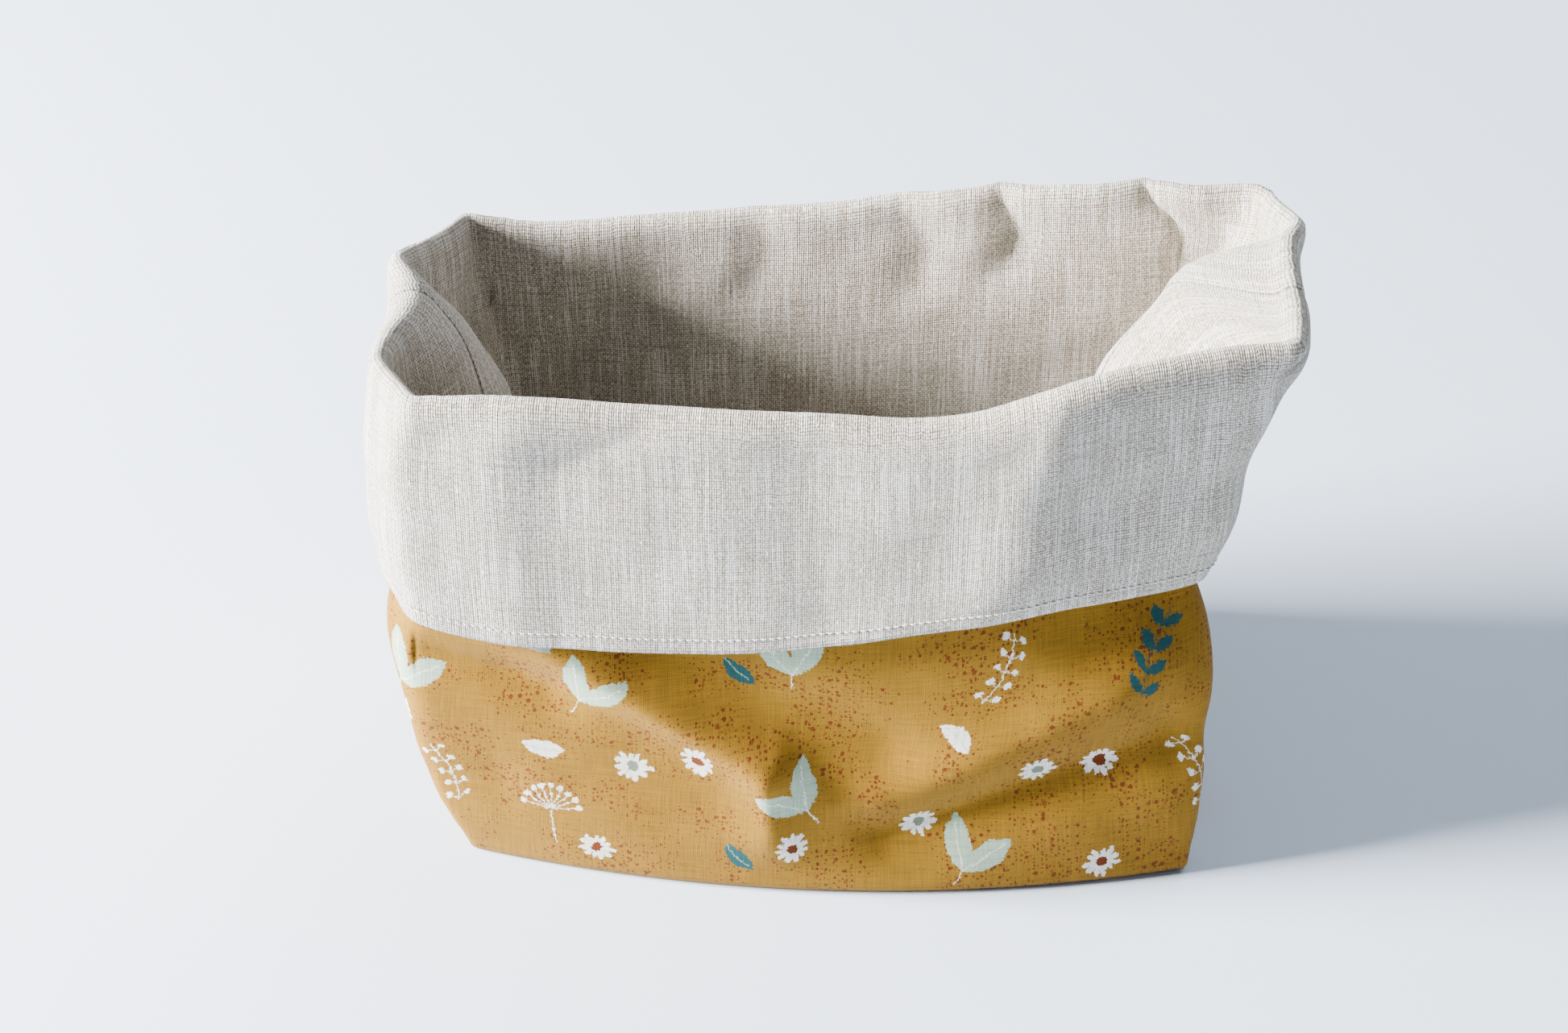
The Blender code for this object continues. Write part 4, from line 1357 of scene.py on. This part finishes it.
@dataclass
class StitchRow:
    """A row of topstitches on the linen of the cuff."""

    form: BagForm
    half: Half
    above_hem: float = 5.0
    first: float = 1.2
    pitch: float = 2.55
    length: float = 2.05
    thread: float = 0.46
    sides: int = 6
    bow: Sequence[float] = (-0.5, 0.32, 0.55, 0.55, 0.32, -0.5)
    linen_face: float = 1.3

    def path(self, grid: np.ndarray, normals: np.ndarray) -> tuple[np.ndarray, np.ndarray]:
        """The line of the row on the linen's face, and the directions away from the cloth."""
        rows = self.above_hem / self.form.row_step
        low = grid.shape[0] - 1 - int(rows) - 1
        share = 1.0 - (rows - int(rows))
        line = grid[low] * (1.0 - share) + grid[low + 1] * share
        away = -(normals[low] * (1.0 - share) + normals[low + 1] * share)
        return line + away * self.linen_face, away

    def build(self, grid: np.ndarray, normals: np.ndarray, finish: bpy.types.Material) -> bpy.types.Object:
        """Build all stitches of the row as one piece.

        Args:
            grid: The panel's part of the middle surface.
            normals: Its normals, to the cotton's side.
            finish: The thread's material.

        Returns:
            The finished row.
        """
        line, away = self.path(grid, normals)
        along = lengths_along(line)
        starts = np.arange(self.first, along[-1] - self.length, self.pitch)
        turns = np.linspace(0.0, 2.0 * np.pi, self.sides, endpoint=False)
        shares = np.linspace(0.0, 1.0, len(self.bow))
        points, faces, uvs = [], [], []
        ring = np.arange(self.sides)
        for start in starts:
            at = start + shares * self.length
            core = np.stack([np.interp(at, along, axis) for axis in line.T], axis=1)
            up = np.stack([np.interp(at, along, axis) for axis in away.T], axis=1)
            up /= np.linalg.norm(up, axis=1)[:, None]
            ahead = np.gradient(core, axis=0)
            side = np.cross(ahead, up)
            side /= np.linalg.norm(side, axis=1)[:, None]
            core = core + up * (np.array(self.bow) * self.thread)[:, None]
            first = len(points) * len(self.bow) * self.sides
            across = side[:, None] * np.cos(turns)[None, :, None]
            around = across + up[:, None] * np.sin(turns)[None, :, None]
            points.append(core[:, None] + around * (0.5 * self.thread))
            index = first + np.arange(len(self.bow))[:, None] * self.sides + ring[None]
            index = np.concatenate([index, index[:, :1]], axis=1)
            faces.append(grid_quads(index)[:, ::-1])
            place = np.stack(np.meshgrid(np.append(turns, 2 * np.pi) * 0.5 * self.thread, at), axis=-1)
            uvs.append(ClothPanel.corner_uvs(place)[:, ::-1])
        cloud = np.concatenate([part.reshape(-1, 3) for part in points])
        name = f"{self.half.value}_topstitching"
        piece = new_piece(name, self.form.in_place(cloud), np.concatenate(faces), np.concatenate(uvs))
        select_only(piece)
        bpy.ops.object.mode_set(mode="EDIT")
        bpy.ops.mesh.select_all(action="SELECT")
        bpy.ops.mesh.fill_holes(sides=self.sides)
        bpy.ops.mesh.normals_make_consistent(inside=False)
        bpy.ops.object.mode_set(mode="OBJECT")
        piece.data.materials.append(finish)
        return piece


@dataclass
class BreadBag:
    """The whole bag: two panels of each cloth and the cuff's topstitching."""

    form: BagForm
    cotton_thick: float = 1.0
    linen_thick: float = 1.1

    def build(self) -> list[bpy.types.Object]:
        """Build every piece, attach it to the root and hide the imported parts that the panels stand for.

        Returns:
            The pieces.
        """
        grid = self.form.middle_surface()
        normals = self.form.normals_of(grid)
        middle = grid.shape[1] // 2
        cotton = PrintedCotton().material("printed cotton")
        linen = Linen().material("natural linen")
        thread = SewingThread().material("sewing thread")
        pieces = []
        for half, part in ((Half.FRONT, slice(0, middle)), (Half.BACK, slice(middle, None))):
            span, facing = grid[:, part], normals[:, part]
            stitches = StitchRow(self.form, half).build(span, facing, thread)
            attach(stitches, "root")
            for side, thickness, finish in (
                (Side.COTTON, self.cotton_thick, cotton),
                (Side.LINEN, self.linen_thick, linen),
            ):
                panel = ClothPanel(self.form, side, half, thickness)
                piece = panel.build(span, facing, finish)
                panel.declare(piece)
                pieces.append(piece)
                log.info("built %s with %d faces", piece.name, len(piece.data.polygons))
            pieces.append(stitches)
            log.info("built %s with %d faces", stitches.name, len(stitches.data.polygons))
        return pieces


class Lamp(NamedTuple):
    """A soft square lamp that faces the bag: its place and side in metres, its power in watts."""

    name: str
    place: tuple[float, float, float]
    size: float
    power: float
    colour: tuple[float, float, float]


@dataclass
class Studio:
    """Pale floor, soft window light from the left, and the camera."""

    floor_half: float = 4.0
    floor_colour: tuple = (0.65, 0.735, 0.87, 1.0)
    azimuth: float = 2.62
    elevation: float = 33.0
    distance: float = 0.9089
    target: tuple = (-0.01822, 0.00119, 0.090)
    lens: float = 62.9
    sensor: float = 36.0
    world_colour: tuple = (0.74, 0.85, 1.0, 1.0)
    world_strength: float = 0.31
    lamps: Sequence[Lamp] = (
        Lamp("window", (-2.28, -0.36, 0.92), 0.80, 740.0, (1.0, 0.985, 0.96)),
        Lamp("room", (0.7, 1.3, 1.7), 1.6, 34.0, (0.88, 0.94, 1.0)),
    )

    def floor(self) -> bpy.types.Object:
        """A plain pale floor."""
        bpy.ops.object.select_all(action="DESELECT")
        bpy.ops.mesh.primitive_plane_add(size=2.0 * self.floor_half)
        floor = bpy.context.active_object
        floor.name = "floor"
        p = Painter("pale floor")
        p.shader.inputs["Base Color"].default_value = self.floor_colour
        p.shader.inputs["Roughness"].default_value = 0.8
        floor.data.materials.append(p.material)
        return floor

    def hang(self, lamp: Lamp) -> None:
        """Hang one lamp and turn it to the bag."""
        data = bpy.data.lights.new(lamp.name, "AREA")
        data.size = lamp.size
        data.energy = lamp.power
        data.color = lamp.colour
        piece = bpy.data.objects.new(lamp.name, data)
        piece.location = lamp.place
        ahead = Vector(self.target) - Vector(lamp.place)
        piece.rotation_euler = ahead.to_track_quat("-Z", "Y").to_euler()
        bpy.context.scene.collection.objects.link(piece)

    def lights(self) -> None:
        """Window light from the left, weak light from behind on the right, and an even sky."""
        for lamp in self.lamps:
            self.hang(lamp)
        world = bpy.data.worlds.new("even sky")
        world.use_nodes = True
        back = world.node_tree.nodes["Background"]
        back.inputs["Color"].default_value = self.world_colour
        back.inputs["Strength"].default_value = self.world_strength
        bpy.context.scene.world = world

    def camera(self) -> None:
        """The camera at the photograph's angle."""
        turn, rise = math.radians(self.azimuth), math.radians(self.elevation)
        level = math.cos(rise)
        back = Vector((math.sin(turn) * level, -math.cos(turn) * level, math.sin(rise)))
        data = bpy.data.cameras.new("camera")
        data.lens = self.lens
        data.sensor_width = self.sensor
        camera = bpy.data.objects.new("camera", data)
        camera.location = Vector(self.target) + back * self.distance
        camera.rotation_euler = (-back).to_track_quat("-Z", "Y").to_euler()
        bpy.context.scene.collection.objects.link(camera)
        bpy.context.scene.camera = camera

    def build(self) -> None:
        """Set up the floor, the lights and the camera."""
        self.camera()
        self.floor()
        self.lights()


def main() -> None:
    """Build the studio and the bag."""
    logging.basicConfig(level=logging.INFO, format="%(name)s: %(message)s")
    Studio().build()
    pieces = BreadBag(BagForm()).build()
    log.info("%d pieces in all", len(pieces))


if __name__ == "__main__":
    main()
